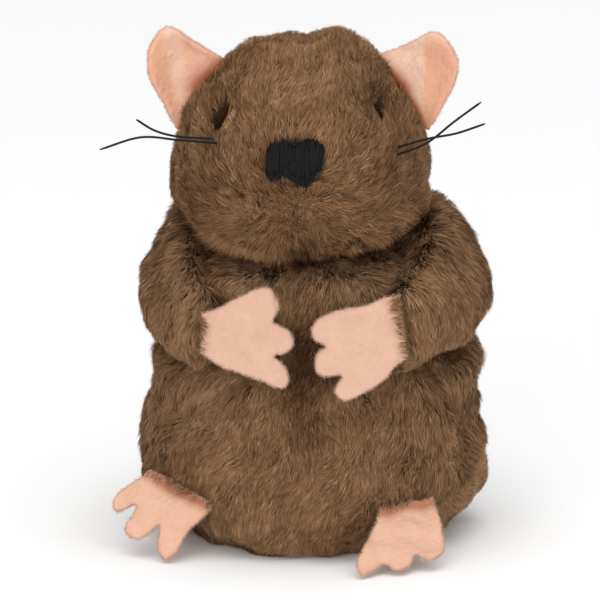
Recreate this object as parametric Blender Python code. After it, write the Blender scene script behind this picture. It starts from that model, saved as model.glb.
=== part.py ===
"""Plush mole toy, sitting upright: pile-fabric skins over stuffing, felt ears, paws and feet.

Metres, +Z up. The face and belly look along -Y. The origin is the centre of the flat base.
Shapes are worked out in millimetres and scaled when each mesh is made.
Left and right are the viewer's, looking at the face.
"""

import math

import bmesh
import bpy
import numpy as np

MM = 0.001

# ---------------------------------------------------------------- driving dimensions (mm)
PILE_FABRIC = 3.0  # backing and combed pile together
GAP = 0.5  # running gap between neighbouring pieces
SEAM = 0.3  # gap along a sewn seam
FELT = 1.6
WHISKER = 0.5
THREAD = 0.6

BASE_THICK = 1.7
BASE_RADIUS = (25.2, 25.6, 23.7)  # side, front, back

NECK = np.array([0.0, -2.0, 66.0])
NECK_BALL = 9.5
HEAD_CENTRE = np.array([-1.8, -6.0, 88.0])
TORSO_CENTRE = np.array([0.0, 0.0, 30.0])

ARM_RADIUS = 11.8  # shoulder, across
ARM_HEIGHT = 12.6  # shoulder, half its height
SWING_DEG = 50.0

# Height, half width, front depth, back depth, centre x, centre y of each level.
TORSO_LEVELS = [
    (0.3, 26.2, 26.6, 24.7, 0.0, 0.0),
    (0.9, 28.6, 29.0, 27.0, 0.0, 0.0),
    (3.2, 32.2, 31.8, 30.0, 0.0, 0.0),
    (8.0, 35.8, 34.0, 32.4, 0.0, 0.0),
    (15.0, 37.8, 35.2, 33.5, 0.0, 0.0),
    (23.0, 38.3, 35.0, 33.6, 0.0, 0.0),
    (32.0, 37.0, 33.4, 32.2, 0.0, 0.0),
    (42.0, 34.5, 30.8, 30.0, 0.0, 0.0),
    (51.0, 31.0, 28.0, 27.2, 0.0, -0.4),
    (57.0, 27.6, 24.8, 24.4, 0.0, -1.0),
    (61.8, 22.8, 21.0, 20.6, 0.0, -1.6),
    (64.6, 16.8, 16.4, 16.2, 0.0, -2.0),
    (66.0, 10.8, 10.8, 10.8, 0.0, -2.0),
]
HEAD_LEVELS = [
    (68.2, 10.9, 10.9, 10.9, 0.0, -2.0),
    (68.4, 15.5, 17.0, 15.2, -0.9, -4.0),
    (69.7, 20.6, 22.8, 20.4, -1.6, -5.6),
    (72.6, 24.6, 27.4, 24.2, -1.8, -6.0),
    (76.6, 27.4, 30.2, 26.8, -1.8, -6.0),
    (81.3, 28.8, 31.2, 28.0, -1.8, -6.0),
    (86.0, 29.2, 31.2, 28.2, -1.8, -6.0),
    (92.0, 28.0, 29.6, 27.2, -1.8, -6.0),
    (98.5, 25.2, 26.0, 24.8, -1.8, -6.0),
    (104.0, 21.0, 21.2, 21.0, -1.8, -6.0),
    (108.5, 15.8, 15.8, 16.0, -1.8, -6.0),
    (111.8, 9.6, 9.6, 9.6, -1.8, -6.0),
    (113.4, 3.2, 3.2, 3.2, -1.8, -6.0),
    (113.6, 0.5, 0.5, 0.5, -1.8, -6.0),
]
SNOUT = (-3.0, 92.5, 4.0, 11.5)  # x, z, how far it stands out, its spread
SEAM_Y = -4.0  # the plane of the side seam of the head

ARMS = {
    "left": {
        "side": -1,
        "shoulder": (-27.2, 3.0, 56.4),
        "elbow": (-29.6, -18.0, 54.0),
        "wrist": (-22.4, -28.8, 51.3),
        "wrist_half": (4.6, 8.2),
    },
    "right": {
        "side": 1,
        "shoulder": (27.8, 3.0, 57.6),
        "elbow": (29.6, -18.5, 55.0),
        "wrist": (19.4, -29.6, 52.6),
        "wrist_half": (4.6, 8.8),
    },
}

# Each felt hand or foot: its root, the direction of its root edge, the direction of its digits,
# the ends of the root edge, then each digit's tip centre and radius, then the notches between.
FELT_PIECES = {
    "left_paw": {
        "at": (-21.4, -32.0, 51.3),
        "across": (0.0, 0.2, 0.98),
        "along": (0.998, -0.06, 0.0122),
        "root": ((-5.4, 0.2), (5.4, 0.0)),
        "digits": (((-9.0, 14.0), 2.9), ((-0.7, 14.8), 3.1), ((7.4, 12.2), 3.1)),
        "notches": ((-4.5, 12.6), (3.4, 12.4)),
    },
    "right_paw": {
        "at": (18.2, -32.6, 52.2),
        "across": (0.0, 0.22, 0.975),
        "along": (-0.995, -0.1, 0.0226),
        "root": ((-6.8, -0.4), (6.6, 0.2)),
        "digits": (((-13.2, 10.6), 2.7), ((-7.0, 14.0), 2.9), ((0.0, 14.8), 3.1)),
        "notches": ((-10.2, 11.6), (-3.6, 13.4)),
    },
    "left_foot": {
        "at": (-30.4, -24.0, 13.6),
        "across": (0.769, -0.533, -0.352),
        "along": (-0.587, -0.373, -0.718),
        "root": ((-8.6, 0.6), (8.6, 0.4)),
        "digits": (((-9.0, 7.9), 2.7), ((-1.3, 10.6), 2.9), ((7.0, 10.6), 2.8)),
        "notches": ((-5.4, 6.8), (1.6, 7.9)),
    },
    "right_foot": {
        "at": (20.9, -31.0, 11.0),
        "across": (0.949, 0.316, 0.0),
        "along": (0.245, -0.7355, -0.6326),
        "root": ((-7.2, 1.4), (7.2, -0.2)),
        "digits": (((-12.0, 13.2), 2.5), ((-3.9, 12.6), 2.7), ((4.6, 10.0), 2.7)),
        "notches": ((-7.6, 11.6), (0.2, 10.2)),
    },
}

# Rim of each ear in the seam plane, (x, z), from the lower root to the upper root.
EAR_RIMS = {
    "left": [
        (-31.4, 92.2),
        (-33.4, 97.0),
        (-35.8, 102.4),
        (-36.4, 108.0),
        (-34.4, 113.0),
        (-31.0, 115.0),
        (-27.0, 112.8),
        (-22.6, 109.4),
    ],
    "right": [
        (27.8, 92.0),
        (30.2, 97.0),
        (32.2, 102.4),
        (32.8, 107.4),
        (30.8, 112.4),
        (27.4, 114.0),
        (22.6, 112.0),
        (17.6, 110.0),
    ],
}
EAR_ROOTS = {"left": (92.6, 106.8), "right": (92.6, 108.2)}
EAR_CUP = 2.4

# Each whisker: points (x, y, z) from the cheek to the tip.
WHISKERS = {
    "left_upper_whisker": [(-20.2, -27.0, 93.9), (-28.6, -28.6, 95.0), (-37.2, -27.6, 95.4), (-46.2, -26.0, 92.2)],
    "left_lower_whisker": [(-21.6, -26.0, 94.8), (-29.3, -27.2, 95.9), (-34.2, -26.6, 97.0), (-38.2, -26.0, 99.0)],
    "right_upper_whisker": [(18.9, -27.2, 90.9), (25.3, -28.0, 94.2), (31.2, -27.4, 98.8), (37.2, -26.2, 103.0)],
    "right_lower_whisker": [(19.0, -26.4, 92.6), (25.5, -26.2, 94.8), (31.9, -25.2, 95.8), (38.1, -24.2, 97.6)],
}

BROWN = (0.19, 0.108, 0.062)
FELT_PINK = (0.86, 0.52, 0.37)
STUFFING_WHITE = (0.86, 0.85, 0.82)
BLACK = (0.018, 0.017, 0.016)


# ---------------------------------------------------------------- helpers
def along(levels, t):
    """Smooth curve through the rows of a table, read at t from 0 (first row) to 1 (last row)."""
    rows = np.asarray(levels, float)
    last = len(rows) - 1
    s = np.clip(np.asarray(t, float), 0.0, 1.0) * last
    i = np.minimum(s.astype(int), last - 1)
    f = (s - i)[..., None]
    padded = np.vstack([2 * rows[:1] - rows[1:2], rows, 2 * rows[-1:] - rows[-2:-1]])
    a, b, c, d = padded[i], padded[i + 1], padded[i + 2], padded[i + 3]
    return 0.5 * (2 * b + (c - a) * f + (2 * a - 5 * b + 4 * c - d) * f**2 + (3 * b - 3 * c + d - a) * f**3)


def level_surface(levels, theta, t):
    z, half_x, front, back, cx, cy = np.moveaxis(along(levels, t), -1, 0)
    sine = np.sin(theta)
    depth = np.where(sine < 0, front, back)
    x = cx + half_x * np.cos(theta)
    y = cy + depth * sine
    return np.stack([x, y, z + 0 * x], axis=-1)


def torso_surface(theta, t):
    return level_surface(TORSO_LEVELS, theta, t)


def head_surface(theta, t):
    points = level_surface(HEAD_LEVELS, theta, t)
    x, z, reach, spread = SNOUT
    away = ((points[..., 0] - x) ** 2 + (points[..., 2] - z) ** 2) / (2 * spread**2)
    points[..., 1] -= np.where(points[..., 1] < -20, reach * np.exp(-away), 0.0)
    return points


def head_half_width(z):
    t = np.linspace(0.35, 1.0, 200)
    rows = along(HEAD_LEVELS, t)
    return float(np.interp(z, rows[:, 0], rows[:, 1]))


def face_y(x, z):
    """The y of the face's surface in front of a point of the seam plane."""
    t = np.linspace(0.3, 1.0, 300)
    rows = along(HEAD_LEVELS, t)
    half = np.interp(z, rows[:, 0], rows[:, 1])
    front = np.interp(z, rows[:, 0], rows[:, 2])
    inside = np.clip(1 - ((x - HEAD_CENTRE[0]) / half) ** 2, 0.0, 1.0)
    y = HEAD_CENTRE[1] - front * np.sqrt(inside)
    away = ((x - SNOUT[0]) ** 2 + (z - SNOUT[1]) ** 2) / (2 * SNOUT[3] ** 2)
    return y - SNOUT[2] * np.exp(-away)


def arm_spine(arm, u):
    """Centre line of an arm at u from 0 (shoulder) to 1 (wrist), with its half width and half height."""
    u = np.asarray(u, float)[..., None]
    a, b, c = (np.array(arm[k]) for k in ("shoulder", "elbow", "wrist"))
    centre = (1 - u) ** 2 * a + 2 * u * (1 - u) * b + u**2 * c
    tangent = 2 * (1 - u) * (b - a) + 2 * u * (c - b)
    tangent[..., 2] = 0
    tangent /= np.linalg.norm(tangent, axis=-1, keepdims=True)
    ease = (u * u * (3 - 2 * u))[..., 0]
    width = ARM_RADIUS + (arm["wrist_half"][0] - ARM_RADIUS) * ease
    height = ARM_HEIGHT + (arm["wrist_half"][1] - ARM_HEIGHT) * ease
    return centre, tangent, width, height


def arm_rings(arm, count, sides):
    """Rings of an arm from the back of its shoulder to its wrist, each with its outer side first."""
    back = np.cos(np.linspace(math.radians(8), math.radians(80), 4))
    shoulder, tangent, _, _ = arm_spine(arm, np.zeros(1))
    outward = np.array([-tangent[0, 1], tangent[0, 0], 0.0]) * arm["side"]
    rings = []
    centres, tangents, widths, heights = arm_spine(arm, np.linspace(0, 1, count))
    for reach in back:
        size = math.sqrt(1 - reach * reach)
        rings.append((shoulder[0] - reach * ARM_RADIUS * tangent[0], outward, size * ARM_RADIUS, size * ARM_HEIGHT))
    for centre, along_it, width, height in zip(centres, tangents, widths, heights):
        side = np.array([-along_it[1], along_it[0], 0.0]) * arm["side"]
        rings.append((centre, side, width, height))
    out = []
    for centre, side, width, height in rings:
        angles = np.array(sides)
        out.append(
            centre
            + np.cos(angles)[:, None] * width * side
            + np.sin(angles)[:, None] * height * np.array([0.0, 0.0, 1.0])
        )
    return np.array(out)


def inside_arms(points, gap):
    """Whether each point is inside the space that an arm fills as it swings out."""
    hit = np.zeros(points.shape[:-1], bool)
    for arm in ARMS.values():
        centre, _, width, height = arm_spine(arm, np.linspace(0, 1, 13))
        pivot = np.array(arm["shoulder"])
        for swing in np.linspace(0, SWING_DEG, 6):
            turn = math.radians(swing) * arm["side"]
            offset = centre - pivot
            x = offset[:, 0] * math.cos(turn) - offset[:, 1] * math.sin(turn)
            y = offset[:, 0] * math.sin(turn) + offset[:, 1] * math.cos(turn)
            moved = np.stack([x, y, offset[:, 2]], axis=-1) + pivot
            for c, w, h in zip(moved, width, height):
                d = points - c
                flat = (d[..., 0] ** 2 + d[..., 1] ** 2) / (w + gap) ** 2
                hit |= flat + d[..., 2] ** 2 / (h + gap) ** 2 < 1
    return hit


def clear_of_arms(points, centre, gap):
    """Draws a closed grid of points in towards the centre until it is clear of the arms, with softened edges."""
    rays = points - centre
    steps = np.linspace(0.25, 1.0, 180)
    samples = centre + rays[..., None, :] * steps[:, None]
    hit = inside_arms(samples, gap)
    first = np.argmax(hit, axis=-1)
    share = np.where(hit.any(axis=-1), steps[np.maximum(first - 1, 0)], 1.0)
    share = around(share, np.min)
    return centre + rays * around(share, np.mean)[..., None]


def around(grid, combine):
    """Combines each value with its eight neighbours; the columns run all the way round."""
    tall = np.pad(grid, ((1, 1), (0, 0)), mode="edge")
    wide = np.concatenate([tall[:, -1:], tall, tall[:, :1]], axis=1)
    rows, columns = grid.shape
    near = [wide[r : r + rows, c : c + columns] for r in range(3) for c in range(3)]
    return combine(np.array(near), axis=0)


def towards(points, centre, amount):
    rays = points - centre
    length = np.linalg.norm(rays, axis=-1, keepdims=True)
    return centre + rays * (1 - amount / length)


def strip_faces(first, second, closed):
    """Triangles between two rows of point numbers."""
    faces = []
    count = len(first)
    for k in range(count if closed else count - 1):
        n = (k + 1) % count
        faces.append((first[k], first[n], second[n]))
        faces.append((first[k], second[n], second[k]))
    return faces


def finish(name, points, faces, colour, roughness, origin=(0, 0, 0), parent=None, smooth=True):
    mesh = bpy.data.meshes.new(name)
    work = bmesh.new()
    origin = np.asarray(origin, float)
    made = [work.verts.new(((p - origin) * MM).tolist()) for p in np.asarray(points, float)]
    for face in faces:
        work.faces.new([made[k] for k in face])
    bmesh.ops.recalc_face_normals(work, faces=work.faces)
    work.to_mesh(mesh)
    work.free()
    if smooth:
        mesh.shade_smooth()
        mesh.set_sharp_from_angle(angle=math.radians(50))
    obj = bpy.data.objects.new(name, mesh)
    bpy.context.scene.collection.objects.link(obj)
    place(obj, origin, parent)
    paint(obj, colour, roughness)
    return obj


def place(obj, origin, parent):
    origin = np.asarray(origin, float)
    if parent is None:
        obj.location = (origin * MM).tolist()
        return
    obj.parent = parent
    obj.location = ((origin - np.array(parent["at_mm"])) * MM).tolist()


def paint(obj, colour, roughness):
    material = bpy.data.materials.new(obj.name)
    material.use_nodes = True
    shader = material.node_tree.nodes["Principled BSDF"]
    shader.inputs["Base Color"].default_value = (*colour, 1.0)
    shader.inputs["Roughness"].default_value = roughness
    shader.inputs["Metallic"].default_value = 0.0
    material.diffuse_color = (*colour, 1.0)
    obj.data.materials.append(material)


def pivot(name, at, parent=None):
    empty = bpy.data.objects.new(name, None)
    empty.empty_display_size = 0.008
    bpy.context.scene.collection.objects.link(empty)
    at = [float(v) for v in at]
    if parent is None:
        empty.location = [v * MM for v in at]
    else:
        empty.parent = parent
        empty.location = [(v - w) * MM for v, w in zip(at, parent["at_mm"])]
    empty["at_mm"] = at
    return empty


def patch(outer, inner):
    """A shell between two matching grids of points, closed round its four edges."""
    rows, columns = outer.shape[:2]
    points = np.concatenate([outer.reshape(-1, 3), inner.reshape(-1, 3)])
    grid = np.arange(rows * columns).reshape(rows, columns)
    under = grid + rows * columns
    faces = []
    for r in range(rows - 1):
        faces += strip_faces(grid[r], grid[r + 1], False)
        faces += [f[::-1] for f in strip_faces(under[r], under[r + 1], False)]
    rim = [*grid[0, :], *grid[1:, -1], *grid[-1, -2::-1], *grid[-2:0:-1, 0]]
    lower = [k + rows * columns for k in rim]
    faces += strip_faces(lower, rim, True)
    return points, faces


def closed_rings(rings):
    """A solid through a list of rings, each with the same number of points, capped at both ends."""
    rings = [np.asarray(r, float) for r in rings]
    count = len(rings[0])
    points = np.concatenate([*rings, [rings[0].mean(axis=0)], [rings[-1].mean(axis=0)]])
    first_cap, last_cap = len(points) - 2, len(points) - 1
    faces = []
    for r in range(len(rings) - 1):
        a = [r * count + k for k in range(count)]
        b = [(r + 1) * count + k for k in range(count)]
        faces += strip_faces(a, b, True)
    last = (len(rings) - 1) * count
    for k in range(count):
        n = (k + 1) % count
        faces.append((first_cap, n, k))
        faces.append((last_cap, last + k, last + n))
    return points, faces


def circle(centre, radius, z, count, start=0.0):
    angles = start + np.arange(count) * 2 * math.pi / count
    return np.stack(
        [centre[0] + radius * np.cos(angles), centre[1] + radius * np.sin(angles), np.full(count, float(z))], axis=-1
    )


def thread(name, points, diameter, parent, colour, roughness=0.45, steps=14, closed=False):
    """A round thread along a smooth route."""
    origin = np.asarray(points[0], float)
    route = np.asarray(points, float) if closed else along(points, np.linspace(0, 1, steps))
    curve = bpy.data.curves.new(name, "CURVE")
    curve.dimensions = "3D"
    curve.bevel_depth = diameter / 2 * MM
    curve.bevel_resolution = 1
    curve.use_fill_caps = not closed
    spline = curve.splines.new("POLY")
    spline.points.add(len(route) - 1)
    for point, place_at in zip(spline.points, route):
        point.co = (*((place_at - origin) * MM), 1.0)
    spline.use_cyclic_u = closed
    obj = bpy.data.objects.new(name, curve)
    bpy.context.scene.collection.objects.link(obj)
    place(obj, origin, parent)
    paint(obj, colour, roughness)
    return obj


# ---------------------------------------------------------------- the body
def make_torso(parent):
    rows = np.concatenate([np.array([0, 0.07]), np.linspace(0.15, 0.62, 8), np.linspace(0.67, 1.0, 8)])[:, None]
    half = 21
    theta = np.arange(2 * half) * math.pi / half
    skin = clear_of_arms(torso_surface(theta[None, :], rows), TORSO_CENTRE, 1.0)
    skin = np.concatenate([skin, skin[:, :1]], axis=1)
    for name, part, shift in (("back_panel", skin[:, : half + 1], SEAM / 2), ("belly_panel", skin[:, half:], -SEAM / 2)):
        inner = towards(part, TORSO_CENTRE, PILE_FABRIC)
        edge = np.zeros_like(part)
        edge[:, (0, -1), 1] = shift
        finish(name, *patch(part + edge, inner + edge), BROWN, 0.9, parent=parent)

    theta = np.arange(24) * 2 * math.pi / 24
    levels = np.linspace(0, 1, 10)[:, None]
    skin = clear_of_arms(torso_surface(theta[None, :], levels), TORSO_CENTRE, 2.2)
    skin = towards(skin, TORSO_CENTRE, PILE_FABRIC + GAP + 1.9)

    recess = [circle((0, 0), 4.0, 11.2, 24), circle((0, 0), 12.6, 11.0, 24), circle((0, 0), 13.0, skin[0, :, 2].mean(), 24)]
    socket = []
    for radius in (8.0, 5.4, 2.6):
        z = NECK[2] - math.sqrt((NECK_BALL + 0.8) ** 2 - radius**2)
        socket.append(circle(NECK, radius, z, 24))
    finish("body_stuffing", *closed_rings([*recess, *skin, *socket]), STUFFING_WHITE, 1.0, parent=parent)


    side, front, back = BASE_RADIUS
    angles = np.arange(40) * 2 * math.pi / 40
    depth = np.where(np.sin(angles) < 0, front, back)
    lower = np.stack([side * np.cos(angles), depth * np.sin(angles), 0 * angles], axis=-1)
    upper = lower * (1 - 1.2 / side) + np.array([0, 0, BASE_THICK])
    finish("base_panel", *closed_rings([lower, upper]), BROWN, 0.9, parent=parent, smooth=False)

    pouch = [
        circle((0, 0), radius, z, 24)
        for radius, z in ((9.0, 2.6), (11.2, 3.4), (12.0, 5.2), (11.8, 7.6), (10.4, 9.4), (6.0, 10.3))
    ]
    finish("catnip_pouch", *closed_rings(pouch), (0.62, 0.56, 0.42), 0.95, parent=parent)

    ring = circle(NECK, 10.35, NECK[2] + 0.6, 24)
    thread("neck_seam_thread", ring, THREAD, parent, (0.10, 0.06, 0.035), closed=True)

    zigzag = []
    for k in range(9):
        t = 0.24 + 0.022 * k
        theta_k = 0.045 * (1 if k % 2 else -1)
        point = torso_surface(np.array(theta_k), np.array(t))
        zigzag.append(TORSO_CENTRE + (point - TORSO_CENTRE) * (1 + 0.75 / np.linalg.norm(point - TORSO_CENTRE)))
    thread("closing_stitches", zigzag, THREAD, parent, (0.10, 0.06, 0.035), steps=21)


def make_neck(parent):
    rings = []
    for k in range(1, 10):
        angle = math.pi * (k / 10) - math.pi / 2
        rings.append(circle(NECK, NECK_BALL * math.cos(angle), NECK[2] + NECK_BALL * math.sin(angle), 20))
    finish("neck_stuffing", *closed_rings(rings), STUFFING_WHITE, 1.0, origin=NECK, parent=parent)


# ---------------------------------------------------------------- the head
def make_head(parent):
    rows = np.concatenate([np.linspace(0, 0.33, 5), np.linspace(0.41, 1.0, 9)])[:, None]
    columns = 17
    seams = {
        "face_panel": (np.linspace(math.pi, 2 * math.pi, columns + 1), -SEAM / 2),
        "head_back_panel": (np.linspace(0, math.pi, columns + 1), SEAM / 2),
    }
    for name, (theta, shift) in seams.items():
        outer = head_surface(theta[None, :], rows)
        inner = towards(outer, HEAD_CENTRE, PILE_FABRIC)
        edge = np.zeros_like(outer)
        edge[:, (0, -1), 1] = shift
        finish(name, *patch(outer + edge, inner + edge), BROWN, 0.9, origin=NECK, parent=parent)

    theta = np.arange(20) * 2 * math.pi / 20
    levels = np.linspace(0, 1, 9)[:, None]
    skin = towards(head_surface(theta[None, :], levels), HEAD_CENTRE, PILE_FABRIC + GAP + 0.7)
    socket = []
    for radius in (2.6, 5.4, 8.0):
        z = NECK[2] + math.sqrt((NECK_BALL + 0.9) ** 2 - radius**2)
        socket.append(circle(NECK, radius, z, 20))
    finish("head_stuffing", *closed_rings([*socket, *skin]), STUFFING_WHITE, 1.0, origin=NECK, parent=parent)

    make_nose(parent)
    eyes = {
        "left_eye_stitch": ((-17.4, 103.4), (-20.5, 97.6)),
        "right_eye_stitch": ((13.6, 103.2), (15.2, 99.8)),
    }
    for name, ends in eyes.items():
        route = []
        for share in (0.0, 0.5, 1.0):
            x, z = (np.array(ends[0]) * (1 - share) + np.array(ends[1]) * share).tolist()
            point = np.array([x, face_y(x, z), z])
            ray = point - HEAD_CENTRE
            route.append(point + ray / np.linalg.norm(ray) * 0.9)
        thread(name, route, 1.0, parent, BLACK, steps=6)
    for name, route in WHISKERS.items():
        moved = [np.array(p, float) for p in route]
        x, _, z = moved[0]
        moved[0] = np.array([x, face_y(x, z) - 0.75, z])
        thread(name, moved, WHISKER, parent, BLACK, roughness=0.35)


def make_nose(parent):
    """The satin-stitched nose: broad at the top, narrowing to a blunt lower end, laid on the snout."""
    centre_x, centre_z = -3.5, 92.5
    angles = np.arange(24) * 2 * math.pi / 24
    outline = np.stack([5.9 * np.cos(angles), 4.9 * np.sin(angles)], axis=-1)
    outline[:, 0] *= 1.0 + 0.16 * np.sin(angles)
    layers = []
    for lift, sizes in ((0.45, (0.45, 0.98)), (1.7, (0.9, 0.45))):
        for size in sizes:
            x = centre_x + outline[:, 0] * size
            z = centre_z + outline[:, 1] * size
            raised = lift + (0.35 if lift > 1 and size < 0.5 else 0.0)
            layers.append(np.stack([x, face_y(x, z) - raised, z], axis=-1))
    finish("nose_embroidery", *closed_rings(layers), BLACK, 0.5, origin=NECK, parent=parent)


def make_ear(side, parent):
    sign = -1 if side == "left" else 1
    low, high = EAR_ROOTS[side]
    rim = along(EAR_RIMS[side], np.linspace(0, 1, 13))
    heights = np.linspace(low, high, 13)
    root = np.array([(HEAD_CENTRE[0] + sign * (head_half_width(z) + 1.0), z) for z in heights])
    across = np.linspace(0, 1, 6)
    front = np.empty((13, 6, 3))
    for k, v in enumerate(across):
        flat = root * (1 - v) + rim * v
        front[:, k, 0] = flat[:, 0]
        front[:, k, 1] = SEAM_Y + EAR_CUP * 4 * v * (1 - v) * np.sin(np.linspace(0.25, math.pi - 0.25, 13))
        front[:, k, 2] = flat[:, 1]
    offset = np.array([0, FELT / 2, 0])
    axis_at = (front[0, 0] + front[-1, 0]) / 2
    hinge = pivot(f"{side}_ear_axis", axis_at, parent)
    finish(f"{side}_ear", *patch(front - offset, front + offset), FELT_PINK, 0.95, origin=axis_at, parent=hinge)


# ---------------------------------------------------------------- arms, paws and feet
def make_arm(side, parent):
    arm = ARMS[side]
    hinge = pivot(f"{side}_arm_axis", arm["shoulder"], parent)
    heart = arm_spine(arm, np.array(0.3))[0]
    quarter = math.pi / 2
    halves = {
        f"{side}_arm_outer_panel": (np.linspace(-quarter, quarter, 8), SEAM / 2),
        f"{side}_arm_inner_panel": (np.linspace(quarter, 3 * quarter, 8), -SEAM / 2),
    }
    outward = np.array([float(arm["side"]), 0.0, 0.0])
    for name, (angles, shift) in halves.items():
        outer = arm_rings(arm, 8, angles)
        inner = towards(outer, heart, 2.2)
        edge = np.zeros_like(outer)
        edge[:, (0, -1)] = outward * shift
        finish(name, *patch(outer + edge, inner + edge), BROWN, 0.9, origin=arm["shoulder"], parent=hinge)
    filling = towards(arm_rings(arm, 8, np.arange(14) * math.pi / 7 - quarter), heart, 2.9)
    finish(f"{side}_arm_stuffing", *closed_rings(filling), STUFFING_WHITE, 1.0, origin=arm["shoulder"], parent=hinge)
    return hinge


def felt_outline(piece):
    """Closed outline in the plane of the felt, (across, along), root edge first."""
    low, high = (np.array(p, float) for p in piece["root"])
    digits = piece["digits"]
    middle = (low + high) / 2
    points = [high, low]
    for k, (tip, radius) in enumerate(digits):
        tip = np.array(tip, float)
        pointing = math.atan2(tip[1] - middle[1], tip[0] - middle[0])
        for step in np.linspace(1.45, -1.45, 7):
            points.append(tip + radius * np.array([math.cos(pointing + step), math.sin(pointing + step)]))
        if k < len(digits) - 1:
            points.append(np.array(piece["notches"][k], float))
    return np.array(points)


def make_felt(name, axis_name, parent):
    piece = FELT_PIECES[name]
    at, across, forward = (np.array(piece[k], float) for k in ("at", "across", "along"))
    across /= np.linalg.norm(across)
    forward -= across * (forward @ across)
    forward /= np.linalg.norm(forward)
    normal = np.cross(across, forward)
    flat = felt_outline(piece)
    middle = at + flat[:, :1] * across + flat[:, 1:] * forward
    hinge = pivot(axis_name, at, parent)
    count = len(flat)
    points = np.concatenate([middle - normal * FELT / 2, middle + normal * FELT / 2])
    faces = [tuple(range(count)), tuple(range(2 * count - 1, count - 1, -1))]
    faces += [(k, (k + 1) % count, count + (k + 1) % count, count + k) for k in range(count)]
    finish(name, points, faces, FELT_PINK, 0.95, origin=at, parent=hinge, smooth=False)


def main():
    for obj in list(bpy.data.objects):
        bpy.data.objects.remove(obj, do_unlink=True)
    base = pivot("torso_frame", (0, 0, 0))
    make_torso(base)
    neck = pivot("neck_turn_axis", NECK, base)
    make_neck(neck)
    head = pivot("head_nod_axis", NECK, neck)
    make_head(head)
    for side in ("left", "right"):
        make_ear(side, head)
        arm = make_arm(side, base)
        make_felt(f"{side}_paw", f"{side}_wrist_axis", arm)
        make_felt(f"{side}_foot", f"{side}_foot_axis", base)


main()
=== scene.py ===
"""Looks of a small sitting plush toy animal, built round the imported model.

Shapes are worked out in millimetres and scaled to metres when each mesh is made.
Left and right are the viewer's, looking at the face, which looks along -Y.
"""

import math

import bmesh
import bpy
import numpy as np
from mathutils.bvhtree import BVHTree
from mathutils.kdtree import KDTree
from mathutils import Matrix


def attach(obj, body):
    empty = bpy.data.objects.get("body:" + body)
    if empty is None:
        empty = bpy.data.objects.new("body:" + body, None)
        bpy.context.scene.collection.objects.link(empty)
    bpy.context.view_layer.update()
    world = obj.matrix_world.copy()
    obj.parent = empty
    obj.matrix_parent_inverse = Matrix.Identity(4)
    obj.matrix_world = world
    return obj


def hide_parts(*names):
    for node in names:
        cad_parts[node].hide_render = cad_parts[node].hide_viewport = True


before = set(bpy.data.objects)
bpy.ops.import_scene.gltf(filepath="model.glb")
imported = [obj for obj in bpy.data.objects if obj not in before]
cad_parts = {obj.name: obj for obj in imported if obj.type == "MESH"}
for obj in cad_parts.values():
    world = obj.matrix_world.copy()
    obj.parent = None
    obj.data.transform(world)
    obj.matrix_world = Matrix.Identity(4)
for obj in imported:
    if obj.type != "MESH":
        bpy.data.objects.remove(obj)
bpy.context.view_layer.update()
MM = 0.001

# ---------------------------------------------------------------- view plane of the main picture
TILT = math.radians(15.0)
UP = np.array([0.0, math.sin(TILT), math.cos(TILT)])
ACROSS = np.array([1.0, 0.0, 0.0])
TO_VIEWER = np.array([0.0, -math.cos(TILT), math.sin(TILT)])

# ---------------------------------------------------------------- the forms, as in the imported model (mm)
NECK = np.array([0.0, -2.0, 66.0])
HEAD_CENTRE = np.array([-1.8, -6.0, 88.0])
TORSO_CENTRE = np.array([0.0, 0.0, 30.0])
ARM_RADIUS = 11.8
ARM_HEIGHT = 12.6
SWING_DEG = 50.0
BASE_RADIUS = (25.2, 25.6, 23.7)
BASE_THICK = 1.7
FELT = 1.6
BACKING = 0.6  # the woven back of the pile fabric

TORSO_LEVELS = [
    (0.3, 26.2, 26.6, 24.7, 0.0, 0.0),
    (0.9, 28.6, 29.0, 27.0, 0.0, 0.0),
    (3.2, 32.2, 31.8, 30.0, 0.0, 0.0),
    (8.0, 35.8, 34.0, 32.4, 0.0, 0.0),
    (15.0, 37.8, 35.2, 33.5, 0.0, 0.0),
    (23.0, 38.3, 35.0, 33.6, 0.0, 0.0),
    (32.0, 37.0, 33.4, 32.2, 0.0, 0.0),
    (42.0, 34.5, 30.8, 30.0, 0.0, 0.0),
    (51.0, 31.0, 28.0, 27.2, 0.0, -0.4),
    (57.0, 27.6, 24.8, 24.4, 0.0, -1.0),
    (61.8, 22.8, 21.0, 20.6, 0.0, -1.6),
    (64.6, 16.8, 16.4, 16.2, 0.0, -2.0),
    (66.0, 10.8, 10.8, 10.8, 0.0, -2.0),
]
HEAD_LEVELS = [
    (68.2, 10.9, 10.9, 10.9, 0.0, -2.0),
    (68.4, 15.5, 17.0, 15.2, -0.9, -4.0),
    (69.7, 20.6, 22.8, 20.4, -1.6, -5.6),
    (72.6, 24.6, 27.4, 24.2, -1.8, -6.0),
    (76.6, 27.4, 30.2, 26.8, -1.8, -6.0),
    (81.3, 28.8, 31.2, 28.0, -1.8, -6.0),
    (86.0, 29.2, 31.2, 28.2, -1.8, -6.0),
    (92.0, 28.0, 29.6, 27.2, -1.8, -6.0),
    (98.5, 25.2, 26.0, 24.8, -1.8, -6.0),
    (104.0, 21.0, 21.2, 21.0, -1.8, -6.0),
    (108.5, 15.8, 15.8, 16.0, -1.8, -6.0),
    (111.8, 9.6, 9.6, 9.6, -1.8, -6.0),
    (113.4, 3.2, 3.2, 3.2, -1.8, -6.0),
    (113.6, 0.5, 0.5, 0.5, -1.8, -6.0),
]
SNOUT = (-3.0, 92.5, 4.0, 11.5)
SEAM_Y = -4.0

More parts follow.
